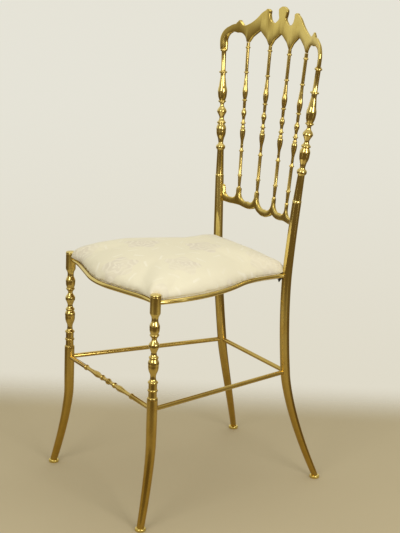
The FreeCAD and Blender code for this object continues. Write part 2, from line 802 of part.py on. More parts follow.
def back_rail_outline():
    """One half of the scalloped back rail, from its middle lobe round the post end to the middle scallop."""
    seat = s.seat_stock - s.socket_drop
    wide = s.socket_radius
    outer, inner = s.spindle_foot_outer, s.spindle_foot_inner
    post = s.post_offset
    drop = s.back_rail_drop
    inner_half = (outer - inner - wide * 2) / 2
    end_half = (post * 0.925 - outer - wide) / 2
    middle_half = inner - wide
    half = [
        (0, -drop, 1.7),
        (inner * 0.5, -(drop * 0.925), 1.7),
        (inner, -(drop * 0.7), 2.6),
        (outer * 0.89, -(drop * 0.79), 0),
        (post, -(drop * 0.76)),
        (post, 6.0),
        (post * 0.945, 4.0),
        (post * 0.925, end_half - s.scallop_bottom, -(end_half * 0.98)),
        (outer + wide, end_half - s.scallop_bottom),
        (outer + wide, seat),
        (outer - wide, seat),
        (outer - wide, inner_half * 0.6 - s.scallop_bottom, -(inner_half * 0.28)),
        ((outer + inner) / 2, -s.scallop_bottom, -(inner_half * 0.28)),
        (inner + wide, inner_half * 0.6 - s.scallop_bottom),
        (inner + wide, seat),
        (inner - wide, seat),
        (inner - wide, middle_half * 0.8 - s.middle_scallop_bottom, -(middle_half * 0.32)),
        (0, -s.middle_scallop_bottom),
    ]
    return [(-x, y, bulge[0] if bulge else 0) for x, y, *bulge in half]


def spindle(label, foot_x, top_x):
    """A slender turned spindle that stands on a socket of the back rail and meets a point of the crest."""
    foot_point, top_point = spindle_foot(foot_x), spindle_top(top_x)
    length = distance(foot_point, top_point)
    shaft = s.spindle_shaft_radius
    swell = s.spindle_bead_radius - shaft
    stations = [
        (shaft, s.seam_gap),
        (shaft, length * 0.3, swell),
        (shaft, length * 0.49, swell),
        (shaft, length * 0.6, swell),
        (shaft, length * 0.8),
        (shaft, length - s.seam_gap),
    ]
    return turned(label, stations, placing(foot_point, towards(foot_point, top_point)))


def spindle_seats(label, at_top):
    """Faces square to the four spindles, cut into a back casting where they meet it."""
    seats = []
    for name, foot_x, top_x in SPINDLES:
        foot_point, top_point = spindle_foot(foot_x), spindle_top(top_x)
        wide = (s.funnel_radius if at_top else s.socket_radius) * 1.3
        start, beyond = (top_point, foot_point) if at_top else (foot_point, top_point)
        end = between(start, beyond, wide / distance(start, beyond))
        seats.append(rod(f"{label}_{name}_seat", start, end, wide))
    return seats


def crest(label):
    blank = back_casting(
        label + "_blank",
        mirrored(crest_outline()),
        s.crest_thickness,
        s.crest_bow,
        s.crest_post_offset,
        s.crest_post_setback + s.crest_bow,
        s.crest_level,
    )
    seats = spindle_seats(label, True)
    for name, side in SIDES:
        low = between(post_foot(side), post_top(side), 0.9)
        seats.append(rod(f"{label}_{name}_post_seat", low, post_top(side), s.post_collar_radius * 1.3))
    return cut_away(label, blank, seats)


def back_rail(label):
    blank = back_casting(
        label + "_blank",
        mirrored(back_rail_outline()),
        s.back_rail_thickness,
        s.back_rail_bow,
        s.post_offset,
        s.post_setback + s.back_rail_bow,
        s.back_rail_level,
    )
    seats = spindle_seats(label, False)
    for name, side in SIDES:
        low = rear_leg_centre(side, s.back_rail_level - s.back_rail_drop - s.leg_radius)
        high = rear_leg_centre(side, s.back_rail_level + s.leg_radius)
        seats.append(rod(f"{label}_{name}_cope", low, high, s.rear_leg_radius + s.clearance * 2))
    return cut_away(label, blank, seats)


# Front stretcher


def front_stretcher(label):
    """A rod between the front legs with turned ornaments in its middle."""
    left = front_leg_centre(1, s.stretcher_level)
    right = front_leg_centre(-1, s.stretcher_level)
    length = distance(left, right)
    middle = length / 2
    plain = s.stretcher_radius
    swell = s.stretcher_bulge_radius - plain
    waist_half = s.stretcher_bead_radius * 2
    stations = [
        (plain, 0),
        (plain, middle - s.stretcher_end_offset, swell),
        (plain, middle - waist_half, swell),
        (plain, middle + waist_half, swell),
        (plain, middle + s.stretcher_end_offset),
        (plain, length),
    ]
    bar = turned(label + "_bar", stations, placing_about(right, (0, 1, 0), 90))
    girths = [leg_girth(f"{label}_{name}_cope", side, True, s.stretcher_level) for name, side in SIDES]
    return cut_away(label, bar, girths)


# Seat brackets, board, pad and cover


ear_top = s.seat_rail_level - s.seat_rail_radius - s.seam_gap
board_bottom = ear_top + s.seam_gap
board_top = board_bottom + s.board_thickness
CORNERS = (
    ("front_left", 1, 1),
    ("front_right", -1, 1),
    ("rear_left", 1, -1),
    ("rear_right", -1, -1),
)


def corner_leg(side, inward):
    """Leg centre, at the seat, that a corner bracket belongs to."""
    if inward > 0:
        return side * s.front_leg_offset, front_leg_y
    centre = rear_leg_centre(side, s.seat_rail_level)
    return centre[0], centre[1]


def corner_heading(side, inward):
    """Heading in degrees from a leg towards the seat, halfway between its two rails."""
    return 90 + side * inward * 45 if inward > 0 else -90 - side * 45


def seat_bracket(label, side, inward):
    """A flat ear under the seat board; at the rear it hangs on a pointed gusset."""
    x, y = corner_leg(side, inward)
    near = (s.leg_radius if inward > 0 else s.rear_leg_radius) + s.seam_gap * 3
    half = s.ear_width / 2
    heading = corner_heading(side, inward)
    ear = plate(
        label + "_ear",
        "XY_Plane",
        [(near, -half), (s.ear_reach - half, -half, half * 0.98), (s.ear_reach - half, half), (near, half)],
        s.ear_thickness,
        placing_about((x, y, ear_top - s.ear_thickness / 2), (0, 0, 1), heading),
    )
    base = ear
    if inward < 0:
        gusset = plate(
            label + "_gusset",
            "XZ_Plane",
            [
                (near, -(s.gusset_drop * 0.5)),
                (s.gusset_reach * 0.75, -s.gusset_drop),
                (s.gusset_reach, -(s.gusset_drop * 0.25)),
                (near + s.ear_thickness * 0.4, s.gusset_rise),
                (near, s.gusset_rise),
            ],
            s.ear_thickness,
            placing_about((x, y, s.seat_rail_level), (0, 0, 1), heading),
        )
        base = joined("Part::MultiFuse", label, [ear, gusset])
    return base


def seat_outline(scale):
    """Outline of the seat over the centre line of the rails, shrunk towards its middle."""
    bow_end, bend_start, bend_end = front_rail_points()
    front, rear, length = side_rail_frame(1)
    share = s.side_rail_share
    turn_x = front[0] + (rear[0] - front[0]) * share
    turn_y = front[1] + (rear[1] - front[1]) * share
    bow = s.front_rail_bow_radius * (1 - cosine(s.front_rail_angle))
    swell = length / 2 * tangent((s.side_rail_angle + s.seat_side_angle) / 2)
    corner = (s.front_leg_offset + s.seat_side_overhang, front_leg_y + s.seat_corner_setback)
    half = [
        (bow_end[0], bow_end[1], 0),
        (bend_start[0], bend_start[1], -s.seat_front_dip),
        (s.front_leg_offset - s.seat_corner_inset, front_leg_y - s.seat_corner_lead, 0),
        (corner[0], corner[1], swell * share * 0.8),
        (turn_x, turn_y, -(swell * (1 - share) * 0.85)),
        (rear[0] - s.seat_rear_inset, rear[1] - s.seat_rear_cut, 0),
        (rear[0] - s.seat_rear_notch, s.seat_rear_edge, 0),
    ]
    centre = s.seat_centre_setback
    scaled = [(x * scale, centre + (y - centre) * scale, as_size(bulge) * scale) for x, y, bulge in half]
    outline = mirrored(scaled)
    outline[-1] = (outline[-1][0], outline[-1][1], bow * scale)
    return outline


def crowned_pad(label, underside, crown, inset=as_size(0), skirt=as_size(0)):
    """A low crowned cushion through shrinking outlines, with its sides drawn in at the bottom."""
    rise = crown - underside
    levels = [(0.0, 0.97), (0.2, 1.0), (0.5, 0.96), (0.8, 0.76), (1.0, 0.36)]
    heights = [(underside + rise * share, scale) for share, scale in levels]
    if skirt.value > 0:
        heights.insert(0, (underside - skirt, levels[0][1]))
    sections = []
    for index, (height, scale) in enumerate(heights):
        holder = document.addObject("PartDesign::Body", f"{label}_layer_{index}")
        stations = seat_outline(scale - inset / s.front_leg_offset)
        outline = draw_outline(holder, f"{label}_outline_{index}", "XY_Plane", stations)
        outline.setExpression("AttachmentOffset", placing((0, 0, height)))
        sections.append(outline)
    loft = document.addObject("Part::Loft", label)
    loft.Sections = sections
    loft.Solid = True
    loft.Ruled = True
    return loft


# Assembly

for name, side in SIDES:
    keep(turned_front_leg(f"front_leg_turning_{name}", side), f"front_leg_turning_{name}")
    keep(lower_front_leg(f"front_leg_lower_{name}", side), f"front_leg_lower_{name}")
    keep(leg_cap(f"front_leg_cap_{name}", side), f"front_leg_cap_{name}")
    keep(rear_leg(f"rear_leg_{name}", side), f"rear_leg_{name}")
    keep(turned_post(f"back_post_{name}", side), f"back_post_{name}")
    keep(foot(f"foot_front_{name}", front_leg_centre(side, s.foot_thickness)), f"foot_front_{name}")
    keep(foot(f"foot_rear_{name}", rear_leg_centre(side, s.foot_thickness)), f"foot_rear_{name}")
    keep(side_rail(f"seat_rail_{name}", side), f"seat_rail_{name}")
    stretcher = rod_between(
        f"stretcher_{name}",
        front_leg_centre(side, s.stretcher_level),
        rear_leg_centre(side, s.stretcher_level),
        s.stretcher_radius,
        [
            leg_girth(f"stretcher_{name}_front_cope", side, True, s.stretcher_level),
            leg_girth(f"stretcher_{name}_rear_cope", side, False, s.stretcher_level),
        ],
    )
    keep(stretcher, f"stretcher_{name}")

for label, level, radius in (
    ("seat_rail_rear", s.seat_rail_level, s.seat_rail_radius),
    ("stretcher_rear", s.stretcher_level, s.stretcher_radius),
):
    girths = [leg_girth(f"{label}_{name}_cope", side, False, level) for name, side in SIDES]
    keep(rod_between(label, rear_leg_centre(1, level), rear_leg_centre(-1, level), radius, girths), label)

keep(front_rail("seat_rail_front"), "seat_rail_front")
keep(front_stretcher("stretcher_front"), "stretcher_front")
keep(crest("crest_rail"), "crest_rail")
keep(back_rail("lower_back_rail"), "lower_back_rail")
for label, foot_x, top_x in SPINDLES:
    keep(spindle(label, foot_x, top_x), label)

for name, side, inward in CORNERS:
    keep(seat_bracket(f"seat_bracket_{name}", side, inward), f"seat_bracket_{name}")

board = plate(
    "seat_board",
    "XY_Plane",
    seat_outline(s.board_scale),
    s.board_thickness,
    placing((0, 0, board_bottom + s.board_thickness / 2)),
)
keep(board, "seat_board")

pad_bottom = board_top + s.seam_gap
crown_level = pad_bottom + s.pad_height
cloth = s.cover_thickness
skin = crowned_pad("cover_outside", pad_bottom, crown_level)
hollow = crowned_pad("cover_inside", pad_bottom, crown_level - cloth, inset=cloth, skirt=cloth)
keep(cut_away("seat_cover", skin, [hollow]), "seat_cover")
lining = cloth + s.seam_gap * 3
keep(crowned_pad("seat_pad", pad_bottom, crown_level - lining, inset=lining), "seat_pad")

document.recompute()
faults = [thing.Label for thing in document.Objects if "Invalid" in thing.State or "Error" in thing.State]
for piece in pieces:
    shape = piece.Shape
    if shape.isNull() or not shape.isValid() or not shape.Solids:
        faults.append(piece.Label)
if faults:
    raise RuntimeError("These pieces could not be built: " + ", ".join(faults))

os.makedirs("parts", exist_ok=True)
for piece in pieces:
    piece.Shape.exportStep(f"parts/{piece.Label}.step")
    print(piece.Label, len(piece.Shape.Solids), "solid,", round(piece.Shape.Volume / 1000, 1), "cm3")
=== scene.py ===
import json
import math
import bmesh
import bpy
from mathutils import Matrix, Vector, noise


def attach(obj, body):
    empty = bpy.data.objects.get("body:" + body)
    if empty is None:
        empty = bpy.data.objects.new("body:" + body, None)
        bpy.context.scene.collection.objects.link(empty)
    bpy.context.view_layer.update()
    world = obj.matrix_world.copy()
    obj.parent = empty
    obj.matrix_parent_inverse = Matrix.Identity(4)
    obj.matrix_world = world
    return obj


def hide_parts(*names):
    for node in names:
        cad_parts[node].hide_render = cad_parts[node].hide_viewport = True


# Polished brass ballroom chair: every turned, bent and cast brass piece is made again here with
# its full profile in place of the plainer CAD node, and the seat becomes a stuffed cushion in
# damask. The board, the ears and the brackets stay as they are and get new materials.

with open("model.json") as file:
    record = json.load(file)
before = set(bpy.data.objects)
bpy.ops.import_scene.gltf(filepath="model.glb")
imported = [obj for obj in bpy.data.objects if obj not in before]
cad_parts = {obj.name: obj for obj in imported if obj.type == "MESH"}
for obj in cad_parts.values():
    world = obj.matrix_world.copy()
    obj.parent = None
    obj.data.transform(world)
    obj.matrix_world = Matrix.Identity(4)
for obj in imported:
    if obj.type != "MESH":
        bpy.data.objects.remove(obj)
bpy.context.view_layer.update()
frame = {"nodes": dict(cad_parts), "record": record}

MM = 0.001
SIDES = (("left", 1), ("right", -1))

# Camera of the photograph, in degrees, metres and millimetres of lens
VIEW_AZIMUTH = 55.92
VIEW_ELEVATION = 15.72
VIEW_ROLL = 2.45
VIEW_PLACE = (2.06671, -1.38816, 1.14770)
VIEW_LENS = 116.42

# Legs, in millimetres
FOOT_THICKNESS = 6.5
FRONT_LEG_X, FRONT_LEG_Y = 163.5, -194.6
FRONT_FOOT_X, FRONT_FOOT_Y = 177.8, -220.7
FRONT_JOINT_LEVEL = 255.0
SPLAY_LEVEL, SPLAY_POWER = 165.0, 1.45
TAPER_LEVEL, ANKLE_RADIUS, LEG_RADIUS = 195.0, 7.4, 10.2
REAR_FOOT_X, REAR_FOOT_Y = 148.5, 220.7
REAR_ANKLE_RADIUS, REAR_LEG_RADIUS, POST_TOP_RADIUS = 6.5, 9.8, 8.9
WAIST_X, WAIST_Y = 114.3, 153.2
KICK_POWER_X, KICK_POWER_Y = 2.0, 1.27
RISE_POWER, FALL_POWER, CLIMB_POWER = 1.69, 1.6, 1.5
SEAT_LEG_Y = 136.5
POST_FOOT = Vector((133.6, 140.5, 593.6))
POST_TOP = Vector((157.6, 153.5, 858.6))

# Rails and stretchers, in millimetres
STRETCHER_LEVEL, STRETCHER_RADIUS = 235.5, 4.6
SEAT_RAIL_LEVEL, SEAT_RAIL_RADIUS = 443.5, 4.4
END_INSET, STRETCHER_INSET = 8.5, 9.0
FRONT_RAIL_SLOPE = math.radians(15.5)
FRONT_SHOULDER_X, FRONT_BOW_RADIUS, FRONT_BEND_RADIUS = 133.0, 165.0, 176.0
SIDE_RAIL_TURN = math.radians(16.7)
SIDE_RAIL_STUB, SIDE_RAIL_SPLIT = 14.0, 0.634

# Flat faces round each kind of piece, and steps along the legs
LEG_SIDES, ROD_SIDES, SPINDLE_SIDES, STRETCHER_SIDES, SCREW_SIDES = 56, 32, 36, 40, 32
FRONT_LEG_STEPS, REAR_LEG_STEPS = 40, 80

# Back castings, in millimetres
CREST_BOW, BACK_RAIL_BOW = 26.0, 23.8
CREST_THICKNESS, BACK_RAIL_THICKNESS = 7.0, 8.0
BACK_LEAN = math.radians(3.2)
ARM_RADIUS = 5.9
CREST_POINT_RISE, SOCKET_RISE = 18.0, 4.0
BACK_RAIL_LEVEL = 573.0
BACK_RAIL_ROUNDING = 2.2
CREST_ROUNDING, ARM_ROUNDING, FUNNEL_ROUNDING = 1.1, 4.3, 1.9
ARM_ACROSS, ARM_DOWN = (134.0, 150.0), (-44.0, -14.0)
FUNNEL_ACROSS, FUNNEL_DOWN = (-128.0, -120.0), (-38.0, -20.0)
CLOSEST_POINTS = 0.15
BEND_CUTS, BEND_CUT_SPACING = 41, 4.03
SPINDLE_FEET, SPINDLE_TOPS = (82.2, 29.4), (96.3, 32.2)

# Seat, in millimetres
CUSHION_FOOT = 447.9
PAD_HEIGHT = 41.5
START_LIFT, START_SHARE = 0.4, 0.93
CAP_CLEARANCE = 10.6
SEAT_CENTRE_Y = -32.0
SCREW_INSET = 28.0

# Cushion, in metres: levels are above its foot
CUSHION_VOXEL = 0.0055
LOWEST_LEVEL, HELD_LEVEL, SMOOTH_LEVEL, WRINKLED_LEVEL = 0.0003, 0.003, 0.004, 0.02
WRINKLE_DEPTH = 0.0006
STUFFING_FRAMES, STUFFING_LIMIT = 20, 0.010

# Damask and plywood, in metres, with waves in radians per metre
ROSE_PLACE = (0.027, -0.193)
ROSE_PITCH = (0.075, 0.095)
ROSE_RADIUS, LEAF_RADIUS = 0.034, 0.052
PETALS, LEAVES = 5.0, 7.0
SWAY, LOBE_DEPTH, LEAF_DEPTH, LEAF_WIDTH = 0.012, 0.005, 0.004, 0.0035
CURL_WAVE, WARP_WAVE, WEFT_WAVE = 480.0, 7400.0, 6200.0
PLY_WAVE = 2094.0

# Studio, in metres
LAMP_DISTANCE, TOP_LAMP_DISTANCE, LAMP_TARGET = 2.6, 2.4, 0.5
STRIP_DISTANCE, STRIP_LEVEL, STRIP_SIZE = 1.5, 0.8, (0.10, 1.5)
FLOOR_REACH = 2.0


# Shader arithmetic


class Value:
    """One output of a shader tree that can stand in a sum."""

    def __init__(self, finish, socket):
        self.finish = finish
        self.socket = socket

    def math(self, operation, *others, flipped=False):
        terms = [self, *others]
        if flipped:
            terms.reverse()
        return self.finish.node("ShaderNodeMath", {"operation": operation}, dict(enumerate(terms)))

    def __add__(self, other):
        return self.math("ADD", other)

    def __radd__(self, other):
        return self.math("ADD", other)

    def __sub__(self, other):
        return self.math("SUBTRACT", other)

    def __rsub__(self, other):
        return self.math("SUBTRACT", other, flipped=True)

    def __mul__(self, other):
        return self.math("MULTIPLY", other)

    def __rmul__(self, other):
        return self.math("MULTIPLY", other)

    def __pow__(self, other):
        return self.math("POWER", other)

    def __rpow__(self, other):
        return self.math("POWER", other, flipped=True)

    def absolute(self):
        return self.math("ABSOLUTE")

    def wave(self):
        return self.math("SINE")

    def cosine(self):
        return self.math("COSINE")

    def repeat(self, pitch):
        """Distance from the middle of the nearest repeat, from minus to plus half a pitch."""
        return self.math("WRAP", pitch / 2, -pitch / 2)

    def between(self, low, high):
        """0 below low, 1 above high and a smooth step on the way."""
        settings = {"interpolation_type": "SMOOTHSTEP"}
        values = {"Value": self, "From Min": low, "From Max": high}
        return self.finish.node("ShaderNodeMapRange", settings, values)


class Shading:
    """A shader tree under construction."""

    def __init__(self, tree):
        self.tree = tree

    def node(self, kind, settings=None, values=None, output=0):
        """Add a node, with its settings first and then the values or links of its sockets."""
        made = self.tree.nodes.new(kind)
        for name, setting in (settings or {}).items():
            setattr(made, name, setting)
        for name, value in (values or {}).items():
            if isinstance(value, Value):
                self.tree.links.new(value.socket, made.inputs[name])
            elif isinstance(value, tuple) and made.inputs[name].type == "RGBA":
                made.inputs[name].default_value = (*value, 1)
            else:
                made.inputs[name].default_value = value
        return Value(self, made.outputs[output])

    def place(self):
        return self.node("ShaderNodeTexCoord", output="Object")

    def split(self, vector):
        made = self.node("ShaderNodeSeparateXYZ", None, {"Vector": vector})
        return [Value(self, made.socket.node.outputs[axis]) for axis in "XYZ"]

    def stretched(self, vector, scale):
        return self.node("ShaderNodeMapping", None, {"Vector": vector, "Scale": scale})

    def grain(self, vector, scale, detail=3.0, roughness=0.55):
        values = {"Vector": vector, "Scale": scale, "Detail": detail, "Roughness": roughness}
        return self.node("ShaderNodeTexNoise", None, values)

    def blend(self, share, first, second):
        """The first colour where the share is 0 and the second where it is 1."""
        values = {"Factor": share, 6: first, 7: second}
        return self.node("ShaderNodeMix", {"data_type": "RGBA"}, values, output=2)

    def bump(self, height, strength, distance):
        values = {"Strength": strength, "Distance": distance, "Height": height}
        return self.node("ShaderNodeBump", None, values)

    def glow(self, colour):
        return self.node("ShaderNodeBackground", None, {"Color": colour})

    def mixed(self, share, first, second):
        """One surface where the share is 0 and the other where it is 1."""
        return self.node("ShaderNodeMixShader", None, {0: share, 1: first, 2: second})


class Finish(Shading):
    """A material under construction."""

    def __init__(self, name):
        self.material = bpy.data.materials.new(name)
        self.material.use_nodes = True
        super().__init__(self.material.node_tree)
        self.surface = self.tree.nodes["Principled BSDF"]

    def set(self, **values):
        """Set the surface: a Value is linked and a plain number is written on the socket."""
        for name, value in values.items():
            socket = self.surface.inputs[name.replace("_", " ")]
            if isinstance(value, Value):
                self.tree.links.new(value.socket, socket)
            else:
                socket.default_value = value
        return self.material


# Finishes


def polished_brass():
    """Buffed and lacquered yellow brass: faint haze, fine lines, and painted dark reflection that
    browns it towards the feet.
    """
    finish = Finish("polished_brass")
    place = finish.place()
    up = finish.split(place)[2]
    haze = finish.grain(place, 34.0).between(0.42, 0.7)
    spots = finish.grain(place, 210.0, 2.0).between(0.6, 0.74)
    lines = finish.grain(finish.stretched(place, (260.0, 260.0, 2600.0)), 1.0, 2.0)
    high = finish.blend(haze * 0.5, (0.79, 0.635, 0.225), (0.70, 0.50, 0.14))
    # Painted dark reflection: the low colour is graded in by height, so the brass goes browner
    # towards the feet in place of a darker floor reflected there.
    low = finish.blend(haze * 0.5, (0.47, 0.305, 0.062), (0.38, 0.232, 0.038))
    painted_reflection_grade = finish.blend(up.between(0.05, 0.5), low, high)
    colour = finish.blend(spots * 0.16, painted_reflection_grade, (0.40, 0.23, 0.04))
    return finish.set(
        Base_Color=colour,
        Metallic=1.0,
        Roughness=haze * 0.05 + spots * 0.05 + lines * 0.03 + 0.07,
        Normal=finish.bump(lines + haze * 3.0, 0.025, 0.0004),
    )


def cast_brass():
    """The same brass on the castings and the feet, with a softer, hand-dressed surface."""
    finish = Finish("cast_brass")
    place = finish.place()
    haze = finish.grain(place, 26.0).between(0.4, 0.7)
    dressing = finish.grain(finish.stretched(place, (60.0, 900.0, 900.0)), 1.0, 2.0)
    ripple = finish.grain(place, 55.0, 2.0)
    colour = finish.blend(haze * 0.5, (0.76, 0.60, 0.18), (0.68, 0.51, 0.13))
    return finish.set(
        Base_Color=colour,
        Metallic=1.0,
        Roughness=haze * 0.06 + dressing * 0.04 + 0.13,
        Normal=finish.bump(ripple * 1.4 + dressing * 0.15, 0.08, 0.0006),
    )


def black_steel():
    """Satin black paint with a fine peel, worn a little."""
    finish = Finish("black_steel")
    place = finish.place()
    peel = finish.grain(place, 900.0)
    wear = finish.grain(place, 90.0).between(0.62, 0.72)
    return finish.set(
        Base_Color=finish.blend(wear, (0.012, 0.011, 0.010), (0.05, 0.045, 0.04)),
        Metallic=0.0,
        Roughness=wear * 0.2 + 0.38,
        Normal=finish.bump(peel, 0.15, 0.0002),
    )


def plywood():
    """Raw birch plywood with its grain front to rear and plies on the edge."""
    finish = Finish("plywood")
    place = finish.place()
    up = finish.split(place)[2]
    grain = finish.grain(finish.stretched(place, (150.0, 9.0, 40.0)), 1.0, 5.0, 0.6)
    plies = (up * PLY_WAVE).wave() * 0.5 + 0.5
    colour = finish.blend(grain.between(0.3, 0.7), (0.56, 0.38, 0.21), (0.68, 0.51, 0.31))
    return finish.set(
        Base_Color=finish.blend(plies * 0.25, colour, (0.36, 0.22, 0.11)),
        Roughness=grain * 0.2 + 0.6,
        Normal=finish.bump(grain, 0.3, 0.0003),
    )


def damask():
    """Ivory tone-on-tone damask: half-drop roses with a few leaves, on a fine ribbed ground."""
    finish = Finish("damask")
    place = finish.place()
    sway = finish.grain(place, 9.0, 1.0) - 0.5
    across, along = finish.split(place)[:2]
    x = across + sway * SWAY - ROSE_PLACE[0]
    y = along - sway * SWAY - ROSE_PLACE[1]
    pitch_x, pitch_y = ROSE_PITCH

    def rose(shift):
        """One of the two half-drop sets: strokes of curled petals, their ground and leaves."""
        u = (x + shift * pitch_x).repeat(pitch_x * 2)
        v = (y + shift * pitch_y).repeat(pitch_y * 2)
        reach = (u * u + v * v) ** 0.5
        turn = finish.node("ShaderNodeMath", {"operation": "ARCTAN2"}, {0: v, 1: u})
        lobes = (turn * PETALS).cosine()
        inside = (lobes * LOBE_DEPTH + ROSE_RADIUS - reach).between(0.0, 0.004)
        curl = (reach * CURL_WAVE + turn * 2.0 + lobes * 1.7).cosine()
        ring = (turn * LEAVES + reach * 45.0).cosine() * LEAF_DEPTH + LEAF_RADIUS - reach
        leaf = ring.absolute() * -1.0 + LEAF_WIDTH
        leaves = leaf.between(0.0, 0.002) * (turn * LEAVES).cosine().between(0.0, 0.4)
        return inside * curl.between(0.0, 0.7), inside, leaves

    first, second = rose(0.0), rose(1.0)
    strokes, petals, leaves = (a.math("MAXIMUM", b) for a, b in zip(first, second))
    worn = finish.grain(place, 24.0, 2.0).between(0.38, 0.62) * 0.6 + 0.4
    warp = (across * WARP_WAVE).wave()
    weft = (along * WEFT_WAVE).wave()
    slub = finish.grain(finish.stretched(place, (40.0, 900.0, 900.0)), 1.0, 3.0)
    soil = finish.grain(place, 9.0, 3.0).between(0.35, 0.75)
    ground = finish.blend(soil * 0.4, (0.81, 0.78, 0.62), (0.775, 0.735, 0.575))
    satin = finish.blend(leaves * worn * 0.75, ground, (0.88, 0.86, 0.74))
    shaded = finish.blend(petals * worn * 0.8, satin, (0.71, 0.665, 0.565))
    drawn = finish.blend(strokes * worn * 0.7, shaded, (0.86, 0.83, 0.70))
    colour = finish.blend((slub - 0.5).absolute() * 0.3, drawn, (0.66, 0.60, 0.43))
    relief = warp * weft * 0.4 + strokes * 1.2 + leaves * 0.8 + slub * 0.6
    return finish.set(
        Base_Color=colour,
        Roughness=0.8 - petals * 0.12 + slub * 0.06,
        Normal=finish.bump(relief, 0.25, 0.0003),
        Sheen_Weight=0.12,
        Sheen_Roughness=0.4,
        Specular_IOR_Level=0.3,
    )


def studio_floor():
    """Plain pale floor that ends softly, so that it runs into the backdrop."""
    finish = Finish("studio_floor")
    place = finish.place()
    across, along = finish.split(place)[:2]
    azimuth = math.radians(VIEW_AZIMUTH)
    # It fades out in front of the chair, behind it and at both sides
    nearer = across * math.sin(azimuth) - along * math.cos(azimuth)
    aside = (across * math.cos(azimuth) + along * math.sin(azimuth)).absolute()
    ends = nearer.between(0.34, 1.0).math("MAXIMUM", (nearer * -1.0).between(0.30, 0.56))
    edge = ends.math("MAXIMUM", aside.between(0.45, 1.05))
    cloud = finish.grain(place, 2.5, 2.0)
    material = finish.set(
        Base_Color=finish.blend(cloud, (0.45, 0.39, 0.26), (0.49, 0.43, 0.29)),
        Roughness=0.85,
        Specular_IOR_Level=0.2,
    )
    surface = Value(finish, finish.surface.outputs["BSDF"])
    nothing = finish.node("ShaderNodeBsdfTransparent")
    ended = finish.mixed(edge, surface, nothing)
    finish.tree.links.new(ended.socket, finish.tree.nodes["Material Output"].inputs["Surface"])
    return material


def studio_backdrop():
    """A pale backdrop behind the chair as the camera sees it, and a dimmer room all round."""
    world = bpy.data.worlds.new("studio")
    world.use_nodes = True
    shading = Shading(world.node_tree)
    direction = shading.node("ShaderNodeTexCoord")

    def facing(turned):
        """How nearly a direction points away from the camera, turned left by an angle."""
        azimuth = math.radians(VIEW_AZIMUTH + turned)
        away = (-math.sin(azimuth), math.cos(azimuth), 0.0)
        settings = {"operation": "DOT_PRODUCT"}
        return shading.node("ShaderNodeVectorMath", settings, {0: direction, 1: away}, "Value")

    height = shading.split(direction)[2]
    backdrop = shading.mixed(
        height.between(-0.4, -0.12),
        shading.glow((0.74, 0.70, 0.58)),
        shading.glow((0.79, 0.77, 0.68)),
    )
    walls = shading.mixed(
        height.between(-0.2, 0.12),
        shading.glow((0.15, 0.107, 0.052)),
        shading.glow((0.38, 0.33, 0.235)),
    )
    ceiling = shading.glow((0.70, 0.66, 0.55))
    room = shading.mixed(height.between(0.5, 0.85), walls, ceiling)
    behind = facing(0).between(0.78, 0.88)
    left_wall = facing(20).between(0.3, 0.6) * height.between(-0.14, -0.04)
    seen = shading.mixed(behind.math("MAXIMUM", left_wall), room, backdrop)
    shading.tree.links.new(seen.socket, shading.tree.nodes["World Output"].inputs["Surface"])
    return world


# Mesh building


def new_piece(name, mesh, finish, crease=35.0):
    """Make a smooth-shaded object that rides on the chair."""
    for face in mesh.polygons:
        face.use_smooth = True
    mesh.set_sharp_from_angle(angle=math.radians(crease))
    mesh.materials.append(finish)
    piece = bpy.data.objects.new(name, mesh)
    bpy.context.scene.collection.objects.link(piece)
    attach(piece, "root")
    return piece


def brass_piece(node, mesh, finish=None):
    """Put a brass mesh in the place of a node."""
    piece = new_piece(node + "_piece", mesh, finish or BRASS)
    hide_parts(node)


def arc_points(start, end, bulge, steps):
    """Points after start and up to end, on an arc that swells to the right of the way by bulge."""
    start, end = Vector(start), Vector(end)
    if not bulge:
        return [end]
    chord = end - start
    half = chord.length / 2
    radius = (half * half + bulge * bulge) / (2 * bulge)
    right = Vector((chord.y, -chord.x)).normalized()
    centre = (start + end) / 2 + right * (bulge - radius)
    first = start - centre
    sweep = 2 * math.asin(max(-1, min(1, half / radius)))
    if abs(bulge) > half:
        sweep = math.copysign(2 * math.pi, sweep) - sweep
    turns = [Matrix.Rotation(sweep * step / steps, 2) for step in range(1, steps)]
    return [turn @ first + centre for turn in turns] + [end]


def outline_points(stations, closed, steps):
    """Sample (across, up, bulge) stations into plain points."""
    points = [Vector(stations[0][:2])]
    following = list(stations[1:]) + ([stations[0]] if closed else [])
    for here, there in zip(stations, following):
        points += arc_points(here[:2], there[:2], here[2] if len(here) > 2 else 0, steps)
    return points[:-1] if closed else points


def ringed_tube(rings, close=True):
    """A bmesh skinned over rings of points, each ring with the same number of points."""
    solid = bmesh.new()
    loops = [[solid.verts.new(point) for point in ring] for ring in rings]
    count = len(loops[0])
    for low, high in zip(loops, loops[1:]):
        for index in range(count):
            after = (index + 1) % count
            solid.faces.new((low[index], low[after], high[after], high[index]))
    if close:
        solid.faces.new(list(reversed(loops[0])))
        solid.faces.new(loops[-1])
    return solid


def finished_mesh(name, solid):
    mesh = bpy.data.meshes.new(name)
    solid.to_mesh(mesh)
    solid.free()
    return mesh


def angles_round(sides):
    return [2 * math.pi * step / sides for step in range(sides)]


def lathe(name, stations, foot, top, sides):
    """Turn (radius, distance, bulge) stations in millimetres about the line from foot to top."""
    foot, top = Vector(foot), Vector(top)
    turn = (top - foot).to_track_quat("Z", "X")
    rings = []
    for radius, level in outline_points(stations, closed=False, steps=5):
        ring = []
        for angle in angles_round(sides):
            spot = Vector((radius * math.cos(angle), radius * math.sin(angle), level))
            ring.append((foot + turn @ spot) * MM)
        rings.append(ring)
    return finished_mesh(name, ringed_tube(rings))


def turned_brass(node, stations, foot, top, sides, finish=None):
    """A turned piece in the place of a node."""
    brass_piece(node, lathe(node + "_piece", stations, foot, top, sides), finish)


